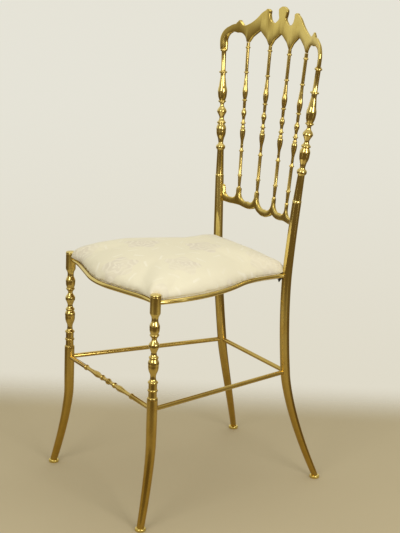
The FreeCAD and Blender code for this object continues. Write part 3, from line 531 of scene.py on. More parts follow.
def bent_bar(name, centres, radii, sides, level_foot):
    """A round bar along a list of centres, with a radius at each."""
    rings = []
    forward = (centres[1] - centres[0]).normalized()
    across = forward.orthogonal().normalized()
    for index, (centre, radius) in enumerate(zip(centres, radii)):
        ahead = centres[min(index + 1, len(centres) - 1)]
        behind = centres[max(index - 1, 0)]
        forward = (ahead - behind).normalized()
        if level_foot and index == 0:
            forward = Vector((0, 0, 1))
        across = (across - forward * across.dot(forward)).normalized()
        aside = forward.cross(across)
        ring = []
        for angle in angles_round(sides):
            out = across * math.cos(angle) + aside * math.sin(angle)
            ring.append((centre + out * radius) * MM)
        rings.append(ring)
    return finished_mesh(name, ringed_tube(rings))


def bent_brass(node, centres, radii, sides, level_foot=False):
    """A bent or straight bar in the place of a node."""
    brass_piece(node, bent_bar(node + "_piece", centres, radii, sides, level_foot))


def mirrored(half):
    """Whole outline from one half; points on the middle line aren't doubled."""
    stations = [(p[0], p[1], p[2] if len(p) > 2 else 0) for p in half]
    other = []
    for index in range(len(stations) - 1, -1, -1):
        x, y = stations[index][:2]
        if x != 0:
            other.append((-x, y, stations[index - 1][2] if index else 0))
    if stations[-1][0] == 0:
        stations[-1] = (0, stations[-1][1], stations[-2][2])
    return stations + other


def inward(points, index):
    """Direction into a counter-clockwise outline at a point, longer at corners."""
    before, here, after = points[index - 1], points[index], points[(index + 1) % len(points)]
    first, second = (here - before).normalized(), (after - here).normalized()
    normal = Vector((-first.y - second.y, first.x + second.x))
    if normal.length < 1e-6:
        return Vector((-first.y, first.x))
    normal.normalize()
    return normal / max(0.6, normal.dot(Vector((-first.y, first.x))))


def casting(name, half, half_thickness, rounding, bow, end, level):
    """A rounded plate with a given half outline, bowed back between its ends and leaned."""
    stations = mirrored(half)
    ahead = stations[1:] + stations[:1]
    if sum(a[0] * b[1] - b[0] * a[1] for a, b in zip(stations, ahead)) < 0:
        stations = [(x, z, -bulge) for x, z, bulge in stations]
    points = outline_points(stations, closed=True, steps=6)
    apart = [(p - points[index - 1]).length > CLOSEST_POINTS for index, p in enumerate(points)]
    points = [p for p, kept in zip(points, apart) if kept]
    area = sum(a.x * b.y - b.x * a.y for a, b in zip(points, points[1:] + points[:1]))
    if area < 0:
        points.reverse()
    inwards = [inward(points, index) for index in range(len(points))]
    quarter = (0.0, 22.5, 45.0, 67.5, 90.0)
    layers = [(1, angle) for angle in reversed(quarter)] + [(-1, angle) for angle in quarter]
    rings = []
    for side, angle in layers:
        ring = []
        for point, way in zip(points, inwards):
            soft = rounding(point.x, point.y)
            thick = half_thickness(point.x, point.y)
            shift = soft * (1 - math.cos(math.radians(angle)))
            depth = thick - soft * (1 - math.sin(math.radians(angle)))
            spot = point + way * shift
            ring.append(Vector((spot.x, side * depth, spot.y)))
        rings.append(ring)
    solid = ringed_tube(rings)
    bmesh.ops.remove_doubles(solid, verts=solid.verts, dist=0.02)
    for step in range(-BEND_CUTS, BEND_CUTS + 1):
        bmesh.ops.bisect_plane(
            solid,
            geom=solid.verts[:] + solid.edges[:] + solid.faces[:],
            plane_co=(step * BEND_CUT_SPACING, 0, 0),
            plane_no=(1, 0, 0),
            dist=0.001,
        )
    radius = (end.x * end.x + bow * bow) / (2 * bow)
    lean = Matrix.Rotation(-BACK_LEAN, 3, "X")
    middle = Vector((0, end.y + bow, level))
    for vertex in solid.verts:
        x, y, z = vertex.co
        drop = radius - math.sqrt(radius * radius - x * x)
        slope = x / radius
        bent = Vector((x - y * slope, y * math.sqrt(1 - slope * slope) - drop, z))
        vertex.co = (lean @ bent + middle) * MM
    bmesh.ops.recalc_face_normals(solid, faces=solid.faces)
    return finished_mesh(name, solid)


def share(value, low, high):
    """How far a value has come on the way from low to high, from 0 to 1."""
    return max(0.0, min(1.0, (value - low) / (high - low)))


# Centre lines, in millimetres


def front_leg_centre(side, level):
    """Straight down from the seat, then outwards and forwards to the foot."""
    x, y = FRONT_LEG_X, FRONT_LEG_Y
    if level < SPLAY_LEVEL:
        splay = ((SPLAY_LEVEL - level) / (SPLAY_LEVEL - FOOT_THICKNESS)) ** SPLAY_POWER
        x += (FRONT_FOOT_X - x) * splay
        y += (FRONT_FOOT_Y - y) * splay
    return Vector((side * x, y, level))


def rear_leg_centre(side, level):
    """From the kicked-out foot in to the waist at the stretchers, then out to the back post."""
    if level < STRETCHER_LEVEL:
        kick = (STRETCHER_LEVEL - level) / (STRETCHER_LEVEL - FOOT_THICKNESS)
        x = WAIST_X + (REAR_FOOT_X - WAIST_X) * kick ** KICK_POWER_X
        y = WAIST_Y + (REAR_FOOT_Y - WAIST_Y) * kick ** KICK_POWER_Y
        return Vector((side * x, y, level))
    rise = (level - STRETCHER_LEVEL) / (POST_FOOT.z - STRETCHER_LEVEL)
    x = WAIST_X + (POST_FOOT.x - WAIST_X) * rise ** RISE_POWER
    if level < SEAT_RAIL_LEVEL:
        fall = (SEAT_RAIL_LEVEL - level) / (SEAT_RAIL_LEVEL - STRETCHER_LEVEL)
        y = SEAT_LEG_Y + (WAIST_Y - SEAT_LEG_Y) * fall ** FALL_POWER
    else:
        climb = (level - SEAT_RAIL_LEVEL) / (POST_FOOT.z - SEAT_RAIL_LEVEL)
        y = SEAT_LEG_Y + (POST_FOOT.y - SEAT_LEG_Y) * climb ** CLIMB_POWER
    return Vector((side * x, y, level))


def spindle_ends(foot_x, top_x):
    """Where a spindle meets the lower back rail and the crest, both on the bow of the back."""
    slope = math.tan(BACK_LEAN)
    foot_y = POST_FOOT.y + BACK_RAIL_BOW * (1 - (foot_x / POST_FOOT.x) ** 2) + SOCKET_RISE * slope
    top_y = POST_TOP.y + CREST_BOW * (1 - (top_x / POST_TOP.x) ** 2) + CREST_POINT_RISE * slope
    foot = Vector((foot_x, foot_y, BACK_RAIL_LEVEL + SOCKET_RISE))
    top = Vector((top_x, top_y, POST_TOP.z + CREST_POINT_RISE))
    return foot, top


def on_side(point, side):
    """A point of the chair's left, moved to its right where the side is -1."""
    return Vector((point.x * side, point.y, point.z))


def upright(point):
    """Two points of the upright line through a point, the first on the floor."""
    base = Vector((point.x, point.y, 0))
    return base, base + Vector((0, 0, 1))


# Turned profiles: (radius, distance along the axis, bulge), foot to top


def collar(radius, level, half, root):
    """A small rounded ring that stands out of a shaft."""
    return [
        (root, level - half),
        (radius - half * 0.25, level - half * 0.62, half * 0.22),
        (radius - half * 0.25, level + half * 0.62),
        (root, level + half),
    ]


FRONT_LEG_PROFILE = [
    (9.5, 255.1, 0.2),
    (10.1, 256.4),
    (10.1, 258.4, 0.2),
    (8.7, 259.8),
    (8.1, 260.6, 0),
    (8.1, 271.0),
    *collar(9.9, 273.8, 2.4, 8.1),
    (8.1, 286.8),
    *collar(9.9, 289.7, 2.4, 8.1),
    (7.2, 293.4, -0.5),
    (5.6, 298.2, -0.9),
    (7.7, 309.5, 0.9),
    (10.0, 323.6, 1.3),
    (8.0, 334.4, 0),
    (7.6, 335.2),
    *collar(9.3, 338.2, 2.4, 7.6),
    (6.9, 341.6, -0.5),
    (5.4, 346.6, -0.3),
    (6.0, 349.6, -0.2),
    (9.0, 356.8, 0.5),
    (9.9, 361.3, 0.5),
    (9.0, 365.8, -0.2),
    (5.3, 371.8, -0.3),
    (5.0, 375.0, -0.3),
    (7.4, 378.8),
    *collar(9.0, 381.8, 2.2, 7.4),
    (7.6, 384.8, 0.6),
    (9.6, 394.6, 1.0),
    (7.6, 405.6, -0.4),
    (6.4, 411.6, -0.9),
    (9.4, 421.6),
    (10.2, 424.2),
    (10.2, 454.6, 0.2),
    (9.8, 455.4),
]

LEG_CAP_PROFILE = [
    (9.7, 455.5, 0.2),
    (10.2, 456.3),
    (10.2, 457.2, 0.5),
    (9.0, 459.4, 0.35),
    (0.4, 460.5),
]

POST_PROFILE = [
    (8.9, 0.1),
    *collar(9.3, 2.2, 2.0, 8.7),
    (8.2, 4.6, 0.0),
    (7.0, 55.4, -0.2),
    (8.2, 57.0, 0.5),
    (9.8, 61.4, 0.5),
    (8.6, 65.8, -0.5),
    (5.4, 69.6, -0.3),
    (5.6, 73.6, -0.5),
    (8.2, 84.0, 0.7),
    (10.0, 96.5, 1.4),
    (7.4, 109.0),
    *collar(9.6, 112.9, 2.6, 7.4),
    (7.0, 116.4, -0.5),
    (4.9, 122.0, -0.3),
    (5.6, 126.0, -0.2),
    (9.4, 133.4, 0.7),
    (9.6, 138.8, 0.2),
    (6.6, 143.6, -0.6),
    (4.1, 149.4, -0.2),
    (4.5, 152.6),
    (6.4, 154.6),
    *collar(8.5, 157.1, 2.0, 6.4),
    (6.6, 159.8, 0.7),
    (9.5, 173.0, 1.0),
    (7.9, 188.0, 0.1),
    (5.5, 207.0, -0.2),
    (5.6, 213.6),
    *collar(8.7, 217.2, 2.4, 5.6),
    (4.9, 221.4),
    (4.9, 258.6),
    *collar(7.6, 262.4, 2.6, 5.2),
    (5.9, 266.2),
]

SPINDLE_PROFILE = [
    (4.1, 0.1, 0.2),
    (3.6, 2.0, -0.2),
    (2.9, 4.6, 0.0),
    (3.9, 24.0),
    *collar(5.2, 27.2, 1.9, 3.8),
    (3.5, 30.0),
    (3.5, 75.4),
    *collar(5.2, 78.4, 1.9, 3.5),
    (2.9, 83.0, -0.3),
    (3.0, 88.0, -0.8),
    (4.4, 106.0, 0.4),
    (5.7, 119.4, 0.6),
    (4.2, 125.0),
    *collar(4.9, 127.6, 1.4, 3.8),
    (3.3, 131.0, -0.1),
    (3.5, 133.6),
    *collar(5.5, 136.4, 1.9, 3.5),
    (3.0, 142.0, -0.3),
    (3.2, 146.0, -0.3),
    (4.8, 153.6, 0.3),
    (5.2, 159.0, 0.5),
    (3.2, 164.4, -0.4),
    (3.2, 170.0),
    (3.3, 180.6),
    *collar(5.3, 183.6, 1.9, 3.4),
    (3.5, 186.4, 0.4),
    (5.6, 199.0, 0.5),
    (4.5, 211.0, 0.1),
    (3.3, 231.0),
    (3.2, 237.8),
    *collar(5.2, 240.8, 1.9, 3.3),
    (3.4, 244.0),
    (3.5, 286.4),
    *collar(5.3, 291.2, 2.3, 3.5),
    (3.6, 295.0),
    (3.6, 301.5),
]

FOOT_PROFILE = [
    (8.6, 0.0, 0.6),
    (10.2, 1.9, 0.2),
    (10.2, 3.9, 0.8),
    (8.2, 6.2),
    (7.6, 6.5),
]


def stretcher_profile(length):
    """The front stretcher: about its middle a plain rod has a bead, rings and long bulges."""
    half = [
        (6.4, 0.0),
        (5.8, 2.9),
        (3.8, 6.6),
        (3.9, 14.0),
        (4.1, 20.4),
        (5.7, 22.6),
        (5.7, 25.0),
        (3.9, 27.0),
        (4.1, 31.0),
        (6.0, 41.0),
        (6.1, 46.0),
        (4.9, 56.0),
        (3.9, 68.0),
        (3.8, 80.0),
        (4.2, 86.2),
        (5.8, 88.2),
        (5.8, 90.8),
        (4.6, 93.0),
    ]
    middle = length / 2
    low = [(radius, middle - offset) for radius, offset in reversed(half)]
    high = [(radius, middle + offset) for radius, offset in half[1:]]
    start = (STRETCHER_RADIUS, STRETCHER_INSET)
    end = (STRETCHER_RADIUS, length - STRETCHER_INSET)
    return [start, *low, *high, end]


# Legs, posts and feet


def leg_levels(top, steps):
    """Even levels from the top of a foot up to a given level."""
    return [FOOT_THICKNESS + (top - FOOT_THICKNESS) * step / steps for step in range(steps + 1)]


def make_legs(side, name):
    """One front leg with its cap, one rear leg with its back post, and their feet."""
    base, above = upright(front_leg_centre(side, FRONT_JOINT_LEVEL))
    turned_brass(f"front_leg_turning_{name}", FRONT_LEG_PROFILE, base, above, LEG_SIDES)
    turned_brass(f"front_leg_cap_{name}", LEG_CAP_PROFILE, base, above, LEG_SIDES)

    levels = leg_levels(FRONT_JOINT_LEVEL, FRONT_LEG_STEPS)
    taper = [share(z, FOOT_THICKNESS, TAPER_LEVEL) for z in levels]
    radii = [ANKLE_RADIUS + (LEG_RADIUS - ANKLE_RADIUS) * full for full in taper]
    centres = [front_leg_centre(side, z) for z in levels]
    bent_brass(f"front_leg_lower_{name}", centres, radii, LEG_SIDES, level_foot=True)

    levels = leg_levels(POST_FOOT.z, REAR_LEG_STEPS)
    radii = []
    for z in levels:
        low = share(z, FOOT_THICKNESS, STRETCHER_LEVEL)
        high = share(z, SEAT_RAIL_LEVEL, POST_FOOT.z)
        radius = REAR_ANKLE_RADIUS + (REAR_LEG_RADIUS - REAR_ANKLE_RADIUS) * low
        radii.append(radius + (POST_TOP_RADIUS - REAR_LEG_RADIUS) * high)
    centres = [rear_leg_centre(side, z) for z in levels]
    bent_brass(f"rear_leg_{name}", centres, radii, LEG_SIDES, level_foot=True)

    foot, top = on_side(POST_FOOT, side), on_side(POST_TOP, side)
    turned_brass(f"back_post_{name}", POST_PROFILE, foot, top, LEG_SIDES)

    for end, centre_of in (("front", front_leg_centre), ("rear", rear_leg_centre)):
        base, above = upright(centre_of(side, FOOT_THICKNESS))
        node = f"foot_{end}_{name}"
        turned_brass(node, FOOT_PROFILE, base, above, LEG_SIDES, CAST_BRASS)


# Rails and stretchers


def straight_rod(node, start, end, radius):
    """A plain rod between two leg centre lines, ending just inside the legs."""
    way = (end - start).normalized()
    ends = [start + way * END_INSET, end - way * END_INSET]
    bent_brass(node, ends, [radius, radius], ROD_SIDES)


def seat_rail(node, centres):
    """A bowed seat rail along its centre line."""
    bent_brass(node, centres, [SEAT_RAIL_RADIUS] * len(centres), ROD_SIDES)


def front_rail_stations():
    """Where the middle bow and the outer bends of the front rail end, and how far they swell."""
    slope, shoulder = FRONT_RAIL_SLOPE, FRONT_SHOULDER_X
    peak = shoulder * math.tan(slope)
    bow_run = FRONT_BOW_RADIUS * math.tan(slope)
    bend_run = FRONT_BEND_RADIUS * math.tan(slope / 2)
    run_x, run_y = bend_run * math.cos(slope), bend_run * math.sin(slope)
    bow_end = (bow_run * math.cos(slope), FRONT_LEG_Y - (peak - bow_run * math.sin(slope)))
    bend_start = (shoulder - run_x, FRONT_LEG_Y - run_y)
    bend_end = (shoulder + bend_run, FRONT_LEG_Y)
    bow = FRONT_BOW_RADIUS * (1 - math.cos(slope))
    bend = FRONT_BEND_RADIUS * (1 - math.cos(slope / 2))
    return bow_end, bend_start, bend_end, bow, bend


def make_front_rail():
    """The front rail, bowed forwards in the middle and bent back to run into the legs."""
    bow_end, bend_start, bend_end, bow, bend = front_rail_stations()
    tip = FRONT_LEG_X - END_INSET
    stations = [
        (-tip, FRONT_LEG_Y),
        (-bend_end[0], bend_end[1], -bend),
        (-bend_start[0], bend_start[1]),
        (-bow_end[0], bow_end[1], bow),
        bow_end,
        (*bend_start, -bend),
        bend_end,
        (tip, FRONT_LEG_Y),
    ]
    points = outline_points(stations, closed=False, steps=14)
    seat_rail("seat_rail_front", [Vector((p.x, p.y, SEAT_RAIL_LEVEL)) for p in points])


def side_rail_centres(side):
    """The S-curve of a side rail, from just inside its front leg to just inside its rear leg."""
    front = Vector((side * FRONT_LEG_X, FRONT_LEG_Y, 0))
    rear = rear_leg_centre(side, SEAT_RAIL_LEVEL)
    chord = Vector((rear.x - front.x, rear.y - front.y, 0))
    length = chord.length
    along = chord.normalized()
    outside = Vector((along.y, -along.x, 0)) * side
    turn, stub, split = SIDE_RAIL_TURN, SIDE_RAIL_STUB, SIDE_RAIL_SPLIT
    near = Vector((stub * math.cos(turn), stub * math.sin(turn)))
    far = Vector((length - near.x, -near.y))
    middle = near + (far - near) * split
    swing = turn + math.atan2(2 * near.y, length - 2 * near.x)
    swell = (far - near).length / 2 * math.tan(swing / 2)
    begin = Vector((math.cos(turn), math.sin(turn))) * END_INSET
    finish = Vector((length, 0)) - begin
    stations = [
        tuple(begin),
        (*near, -swell * split),
        (*middle, swell * (1 - split)),
        tuple(far),
        tuple(finish),
    ]
    points = outline_points(stations, closed=False, steps=16)
    lift = Vector((0, 0, SEAT_RAIL_LEVEL))
    return [front + along * p.x + outside * p.y + lift for p in points]


def make_rails():
    """The seat rails and the stretchers."""
    make_front_rail()
    for name, side in SIDES:
        seat_rail(f"seat_rail_{name}", side_rail_centres(side))
        straight_rod(
            f"stretcher_{name}",
            front_leg_centre(side, STRETCHER_LEVEL),
            rear_leg_centre(side, STRETCHER_LEVEL),
            STRETCHER_RADIUS,
        )
    for node, level, radius in (
        ("seat_rail_rear", SEAT_RAIL_LEVEL, SEAT_RAIL_RADIUS),
        ("stretcher_rear", STRETCHER_LEVEL, STRETCHER_RADIUS),
    ):
        straight_rod(node, rear_leg_centre(-1, level), rear_leg_centre(1, level), radius)
    right, left = front_leg_centre(-1, STRETCHER_LEVEL), front_leg_centre(1, STRETCHER_LEVEL)
    profile = stretcher_profile((left - right).length)
    turned_brass("stretcher_front", profile, right, left, STRETCHER_SIDES)


# Back


def make_spindles():
    """Four turned spindles from the chair's left, stretched to the gap between the castings."""
    feet = (SPINDLE_FEET[0], SPINDLE_FEET[1], -SPINDLE_FEET[1], -SPINDLE_FEET[0])
    tops = (SPINDLE_TOPS[0], SPINDLE_TOPS[1], -SPINDLE_TOPS[1], -SPINDLE_TOPS[0])
    for number, (foot_x, top_x) in enumerate(zip(feet, tops), start=1):
        foot, top = spindle_ends(foot_x, top_x)
        stretch = (top - foot).length / SPINDLE_PROFILE[-1][1]
        profile = [(p[0], p[1] * stretch, *p[2:]) for p in SPINDLE_PROFILE]
        turned_brass(f"spindle_{number}", profile, foot, top, SPINDLE_SIDES)


# Half outlines of the castings: (across, up, bulge) round from the middle line and back to it
CREST_HALF = [
    (0, 98.4, 0.8),
    (-9.6, 94.8, 1.2),
    (-13.6, 89.6, 0.6),
    (-10.4, 76.6, -1.2),
    (-15.0, 68.6, -8.4),
    (-39.4, 75.4, -0.9),
    (-39.8, 85.4, 0.6),
    (-46.0, 89.4, 1.2),
    (-52.0, 86.6, 1.2),
    (-69.0, 74.2, -2.4),
    (-107.0, 49.6, -1.0),
    (-116.0, 53.8, -0.4),
    (-121.6, 59.8, 0.5),
    (-125.2, 56.6, 0.4),
    (-130.0, 51.4, 1.0),
    (-145.2, 45.0, 4.6),
    (-165.6, 17.6, 0.6),
    (-163.2, -5.0),
    (-151.4, -5.0),
    (-151.8, 8.6, -11.4),
    (-124.2, 33.6, -7.4),
    (-99.8, 18.0),
    (-92.8, 18.0),
    (-86.0, 28.6, -0.6),
    (-64.2, 45.0, -0.6),
    (-42.6, 28.6),
    (-35.7, 18.0),
    (-28.7, 18.0),
    (-22.0, 28.6, -0.6),
    (0, 45.0),
]

BACK_RAIL_HALF = [
    (0, -39.5, 1.2),
    (-15.0, -36.4, 1.4),
    (-28.5, -27.5, 2.2),
    (-54.0, -34.2, 0.4),
    (-73.0, -31.4, -0.4),
    (-100.0, -32.0, 0.2),
    (-124.5, -30.2),
    (-124.0, 4.4),
    (-121.0, 1.8, -0.4),
    (-119.6, -3.4, -6.4),
    (-102.8, -19.0, -6.4),
    (-86.3, -3.4),
    (-86.3, 4.0),
    (-78.1, 4.0),
    (-78.1, -2.0, -8.4),
    (-55.8, -19.6, -8.4),
    (-33.5, -2.0),
    (-33.5, 4.0),
    (-25.3, 4.0),
    (-25.3, -6.0, -7.6),
    (0, -25.0),
]


def crest_arm_share(x, z):
    """1 on the round arms that come down to the posts, 0 on the flat crest."""
    return share(abs(x), *ARM_ACROSS) * share(-z, *ARM_DOWN)


def crest_half_thickness(x, z):
    """A flat plate that grows to the full radius of the arms."""
    return CREST_THICKNESS / 2 + (ARM_RADIUS - CREST_THICKNESS / 2) * crest_arm_share(x, z)


def crest_rounding(x, z):
    """Slight on the flat crest, fuller on the arms and on the sockets of the spindles."""
    funnel = share(-z, *FUNNEL_DOWN) * share(-abs(x), *FUNNEL_ACROSS)
    return CREST_ROUNDING + ARM_ROUNDING * crest_arm_share(x, z) + FUNNEL_ROUNDING * funnel


def make_back_castings():
    """The crest and the lower back rail."""
    crest = casting(
        "crest_rail_piece",
        CREST_HALF,
        crest_half_thickness,
        crest_rounding,
        CREST_BOW,
        POST_TOP,
        POST_TOP.z,
    )
    brass_piece("crest_rail", crest, CAST_BRASS)
    rail = casting(
        "lower_back_rail_piece",
        BACK_RAIL_HALF,
        lambda x, z: BACK_RAIL_THICKNESS / 2,
        lambda x, z: BACK_RAIL_ROUNDING,
        BACK_RAIL_BOW,
        POST_FOOT,
        BACK_RAIL_LEVEL,
    )
    brass_piece("lower_back_rail", rail, CAST_BRASS)


# Seat


def seat_outline(scale):
    """Plan of the cushion over the centre line of the rails, shrunk towards its middle."""
    bow_end, bend_start, _, bow, _ = front_rail_stations()
    stations = [
        (*bow_end, 0),
        (*bend_start, -1.5),
        # The corner that closes round the cap
        (FRONT_LEG_X - 10.0, FRONT_LEG_Y - 7.5, -0.4),
        (FRONT_LEG_X + 4.0, FRONT_LEG_Y + 12.6, 12.6),
        (136.4, 15.3, -5.8),
        (124.4, 124.5, 0.6),
        (108.0, 137.5, 0),
    ]
    half = []
    for x, y, bulge in stations:
        half.append((x * scale, SEAT_CENTRE_Y + (y - SEAT_CENTRE_Y) * scale, bulge * scale))
    whole = mirrored(half)
    whole[-1] = (*whole[-1][:2], bow * scale)
    return outline_points(whole, closed=True, steps=8)


def cushion_start():
    """A plain low pillow, a little smaller than the stuffed cushion."""
    # Share of the height and share of the plan at each ring
    crown = [
        (0.0, 1.0),
        (0.1, 1.004),
        (0.36, 1.0),
        (0.58, 0.955),
        (0.76, 0.84),
        (0.88, 0.66),
        (0.96, 0.42),
    ]
    rings = []
    for rise, scale in crown:
        height = CUSHION_FOOT + START_LIFT + PAD_HEIGHT * START_SHARE * rise
        rings.append([Vector((p.x, p.y, height)) * MM for p in seat_outline(scale)])
    return ringed_tube(rings)


def stuff(piece):
    """Blow the cushion up with cloth, held flat underneath, and limit how far a point moves."""
    start = [vertex.co.copy() for vertex in piece.data.vertices]
    floor = CUSHION_FOOT * MM
    held = piece.vertex_groups.new(name="held")
    for vertex in piece.data.vertices:
        if vertex.co.z < floor + HELD_LEVEL:
            held.add([vertex.index], 1.0, "REPLACE")
    cloth = piece.modifiers.new("stuffing", "CLOTH")
    cloth.settings.use_pressure = True
    cloth.settings.uniform_pressure_force = 4.0
    cloth.settings.quality = 6
    cloth.settings.mass = 0.25
    cloth.settings.tension_stiffness = 12.0
    cloth.settings.compression_stiffness = 12.0
    cloth.settings.bending_stiffness = 0.6
    cloth.settings.vertex_group_mass = "held"
    cloth.settings.effector_weights.gravity = 0.0
    cloth.point_cache.frame_start = 1
    cloth.point_cache.frame_end = STUFFING_FRAMES
    for number in range(1, STUFFING_FRAMES + 1):
        bpy.context.scene.frame_set(number)
    shaped = piece.evaluated_get(bpy.context.evaluated_depsgraph_get()).to_mesh()
    moved = [vertex.co.copy() for vertex in shaped.vertices]
    piece.modifiers.remove(cloth)
    bpy.context.scene.frame_set(1)
    for vertex, before, after in zip(piece.data.vertices, start, moved):
        step = after - before
        if step.length > STUFFING_LIMIT:
            step *= STUFFING_LIMIT / step.length
        vertex.co = before + step


def settle(mesh):
    """Even out the stuffed upper side, wrinkle it faintly and keep it off the board and caps."""
    floor = CUSHION_FOOT * MM
    settled = bmesh.new()
    settled.from_mesh(mesh)
    upper = [vertex for vertex in settled.verts if vertex.co.z > floor + SMOOTH_LEVEL]
    axes = {"use_axis_x": True, "use_axis_y": True, "use_axis_z": True}
    for _ in range(3):
        bmesh.ops.smooth_vert(settled, verts=upper, factor=0.5, **axes)
    settled.to_mesh(mesh)
    settled.free()
    for vertex in mesh.vertices:
        x, y, z = vertex.co
        if z > floor + SMOOTH_LEVEL:
            rise = share(z, floor + SMOOTH_LEVEL, floor + WRINKLED_LEVEL)
            pull = noise.noise(Vector((x * 16, y * 16, z * 40)))
            vertex.co += vertex.normal * pull * WRINKLE_DEPTH * rise
        vertex.co.z = max(vertex.co.z, floor + LOWEST_LEVEL)
        for side in (1, -1):
            axis = Vector((side * FRONT_LEG_X * MM, FRONT_LEG_Y * MM))
            clear = vertex.co.xy - axis
            if clear.length < CAP_CLEARANCE * MM:
                vertex.co.xy = axis + clear.normalized() * CAP_CLEARANCE * MM
    for face in mesh.polygons:
        face.use_smooth = True


def make_cushion():
    """The stuffed cushion in its damask cover."""
    mesh = finished_mesh("seat_cushion", cushion_start())
    piece = new_piece("seat_cushion", mesh, DAMASK, crease=180.0)
    remesh = piece.modifiers.new("even", "REMESH")
    remesh.mode = "VOXEL"
    remesh.voxel_size = CUSHION_VOXEL
    graph = bpy.context.evaluated_depsgraph_get()
    even = bpy.data.meshes.new_from_object(piece.evaluated_get(graph))
    piece.modifiers.clear()
    piece.data = even
    stuff(piece)
    settle(even)
    smooth = piece.modifiers.new("smooth", "SUBSURF")
    smooth.levels = smooth.render_levels = 1
    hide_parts("seat_cover", "seat_pad")


def make_hem():
    """The cloth turned round the edge of the board and under it."""
    # Share of the plan and level at each ring
    section = [
        (0.966, 449.0),
        (0.969, 446.0),
        (0.968, 441.5),
        (0.964, 438.6),
        (0.955, 437.7),
        (0.86, 437.7),
        (0.86, 438.7),
        (0.953, 438.8),
        (0.954, 449.0),
    ]
    middle = Vector((0, SEAT_CENTRE_Y))
    rings = []
    for scale, level in section + section[:1]:
        ring = []
        for index, point in enumerate(seat_outline(scale)):
            ragged = 0.0
            if scale < 0.9:
                ragged = 0.007 * math.sin(index * 1.9) + 0.005 * math.sin(index * 0.7)
            spot = middle + (point - middle) * (1 + ragged)
            ring.append(Vector((spot.x, spot.y, level)) * MM)
        rings.append(ring)
    solid = ringed_tube(rings, close=False)
    bmesh.ops.remove_doubles(solid, verts=solid.verts, dist=0.00001)
    bmesh.ops.recalc_face_normals(solid, faces=solid.faces)
    hem = new_piece("seat_cover_hem", finished_mesh("seat_cover_hem", solid), DAMASK, crease=50.0)


def make_screws():
    """A cross-head screw up through each ear and bracket into the board."""
    # Radius, level and depth of the cross at each ring
    section = [
        (2.0, 437.6, 0.0),
        (3.5, 437.1, 0.0),
        (3.6, 436.4, 0.0),
        (3.0, 435.7, 0.0),
        (1.6, 435.4, 0.35),
        (1.1, 436.5, 0.35),
        (0.3, 436.6, 0.0),
    ]
    for end, centre_of, ahead in (("front", front_leg_centre, 1), ("rear", rear_leg_centre, -1)):
        for name, side in SIDES:
            into_seat = Vector((-side, ahead, 0)).normalized()
            middle = centre_of(side, SEAT_RAIL_LEVEL) + into_seat * SCREW_INSET
            rings = []
            for radius, level, cross in section:
                ring = []
                for angle in angles_round(SCREW_SIDES):
                    reach = radius * (1 + cross * math.cos(4 * angle))
                    x = middle.x + reach * math.cos(angle)
                    y = middle.y + reach * math.sin(angle)
                    ring.append(Vector((x, y, level)) * MM)
                rings.append(ring)
            solid = ringed_tube(rings)
            bmesh.ops.recalc_face_normals(solid, faces=solid.faces)
            label = f"seat_screw_{end}_{name}"
            mesh = finished_mesh(label, solid)
            screw = new_piece(label, mesh, NODE_FINISHES["black_steel"], crease=30.0)


# Lamps, floor and camera


def rectangle_lamp(name, place, target, size, power, colour):
    """A rectangular lamp that faces its target."""
    lamp = bpy.data.lights.new(name, "AREA")
    lamp.shape = "RECTANGLE"
    lamp.size, lamp.size_y = size
    lamp.energy = power
    lamp.color = colour
    thing = bpy.data.objects.new(name, lamp)
    bpy.context.scene.collection.objects.link(thing)
    place, target = Vector(place), Vector(target)
    thing.location = place
    thing.rotation_euler = (target - place).to_track_quat("-Z", "Y").to_euler()


def soft_box(name, place, size, power, colour):
    """A broad lamp that faces the middle of the chair."""
    rectangle_lamp(name, place, (0, 0, LAMP_TARGET), size, power, colour)


def strip_light(name, azimuth):
    """A tall narrow lamp that draws a bright line down the polished tubes."""
    place = around(azimuth, 0, STRIP_DISTANCE, STRIP_LEVEL)
    target = (0, 0, place[2])
    rectangle_lamp(name, place, target, STRIP_SIZE, power=0.45, colour=(1.0, 0.96, 0.86))


def around(azimuth, elevation, distance, height=LAMP_TARGET):
    """A place seen from the middle of the chair at a compass angle and height angle."""
    a, e = math.radians(azimuth), math.radians(elevation)
    flat = distance * math.cos(e)
    return math.sin(a) * flat, -math.cos(a) * flat, height + distance * math.sin(e)


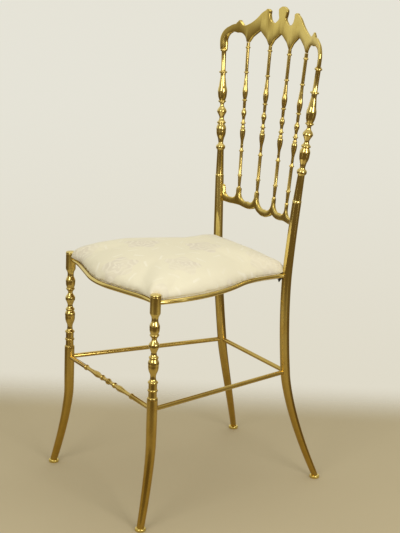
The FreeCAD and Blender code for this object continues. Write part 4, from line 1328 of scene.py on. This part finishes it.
def make_studio():
    """Lamps, floor and backdrop."""
    left = around(VIEW_AZIMUTH - 32, 28, LAMP_DISTANCE)
    right = around(VIEW_AZIMUTH + 34, 18, LAMP_DISTANCE)
    soft_box("soft_box_left", left, size=(1.1, 1.3), power=18, colour=(1.0, 0.97, 0.92))
    soft_box("soft_box_right", right, size=(1.0, 1.3), power=28, colour=(1.0, 0.97, 0.93))
    top = around(200, 78, TOP_LAMP_DISTANCE)
    soft_box("soft_box_top", top, size=(1.6, 1.6), power=8.5, colour=(1.0, 0.98, 0.95))
    strip_light("strip_light_left", VIEW_AZIMUTH - 52)
    strip_light("strip_light_right", VIEW_AZIMUTH + 55)

    floor = bpy.data.meshes.new("studio_floor")
    ways = ((-1, -1), (1, -1), (1, 1), (-1, 1))
    corners = [(x * FLOOR_REACH, y * FLOOR_REACH, 0) for x, y in ways]
    floor.from_pydata(corners, [], [(0, 1, 2, 3)])
    floor.materials.append(studio_floor())
    plane = bpy.data.objects.new("studio_floor", floor)
    bpy.context.scene.collection.objects.link(plane)

    bpy.context.scene.world = studio_backdrop()


def make_camera():
    """The camera of the photograph."""
    azimuth, elevation = math.radians(VIEW_AZIMUTH), math.radians(VIEW_ELEVATION)
    roll = math.radians(VIEW_ROLL)
    back = Vector((
        math.sin(azimuth) * math.cos(elevation),
        -math.cos(azimuth) * math.cos(elevation),
        math.sin(elevation),
    ))
    level = Vector((math.cos(azimuth), math.sin(azimuth), 0))
    above = back.cross(level)
    right = level * math.cos(roll) + above * math.sin(roll)
    up = above * math.cos(roll) - level * math.sin(roll)
    lens = bpy.data.cameras.new("photo_camera")
    lens.sensor_fit = "HORIZONTAL"
    lens.sensor_width = 36.0
    lens.lens = VIEW_LENS
    camera = bpy.data.objects.new("photo_camera", lens)
    turn = Matrix((right, up, back)).transposed().to_4x4()
    camera.matrix_world = Matrix.Translation(Vector(VIEW_PLACE)) @ turn
    bpy.context.scene.collection.objects.link(camera)
    bpy.context.scene.camera = camera
    bpy.context.scene.view_settings.view_transform = "Standard"


BRASS = polished_brass()
CAST_BRASS = cast_brass()
DAMASK = damask()
NODE_FINISHES = {
    "polished_brass": BRASS,
    "black_steel": black_steel(),
    "plywood": plywood(),
    "foam": DAMASK,
    "damask_fabric": DAMASK,
}
for subpart in frame["record"]["subparts"]:
    node = frame["nodes"][subpart["node"]]
    node.data.materials.clear()
    node.data.materials.append(NODE_FINISHES[subpart["material_slot"]])

for name, side in SIDES:
    make_legs(side, name)
make_rails()
make_spindles()
make_back_castings()
make_cushion()
make_hem()
make_screws()
make_studio()
make_camera()
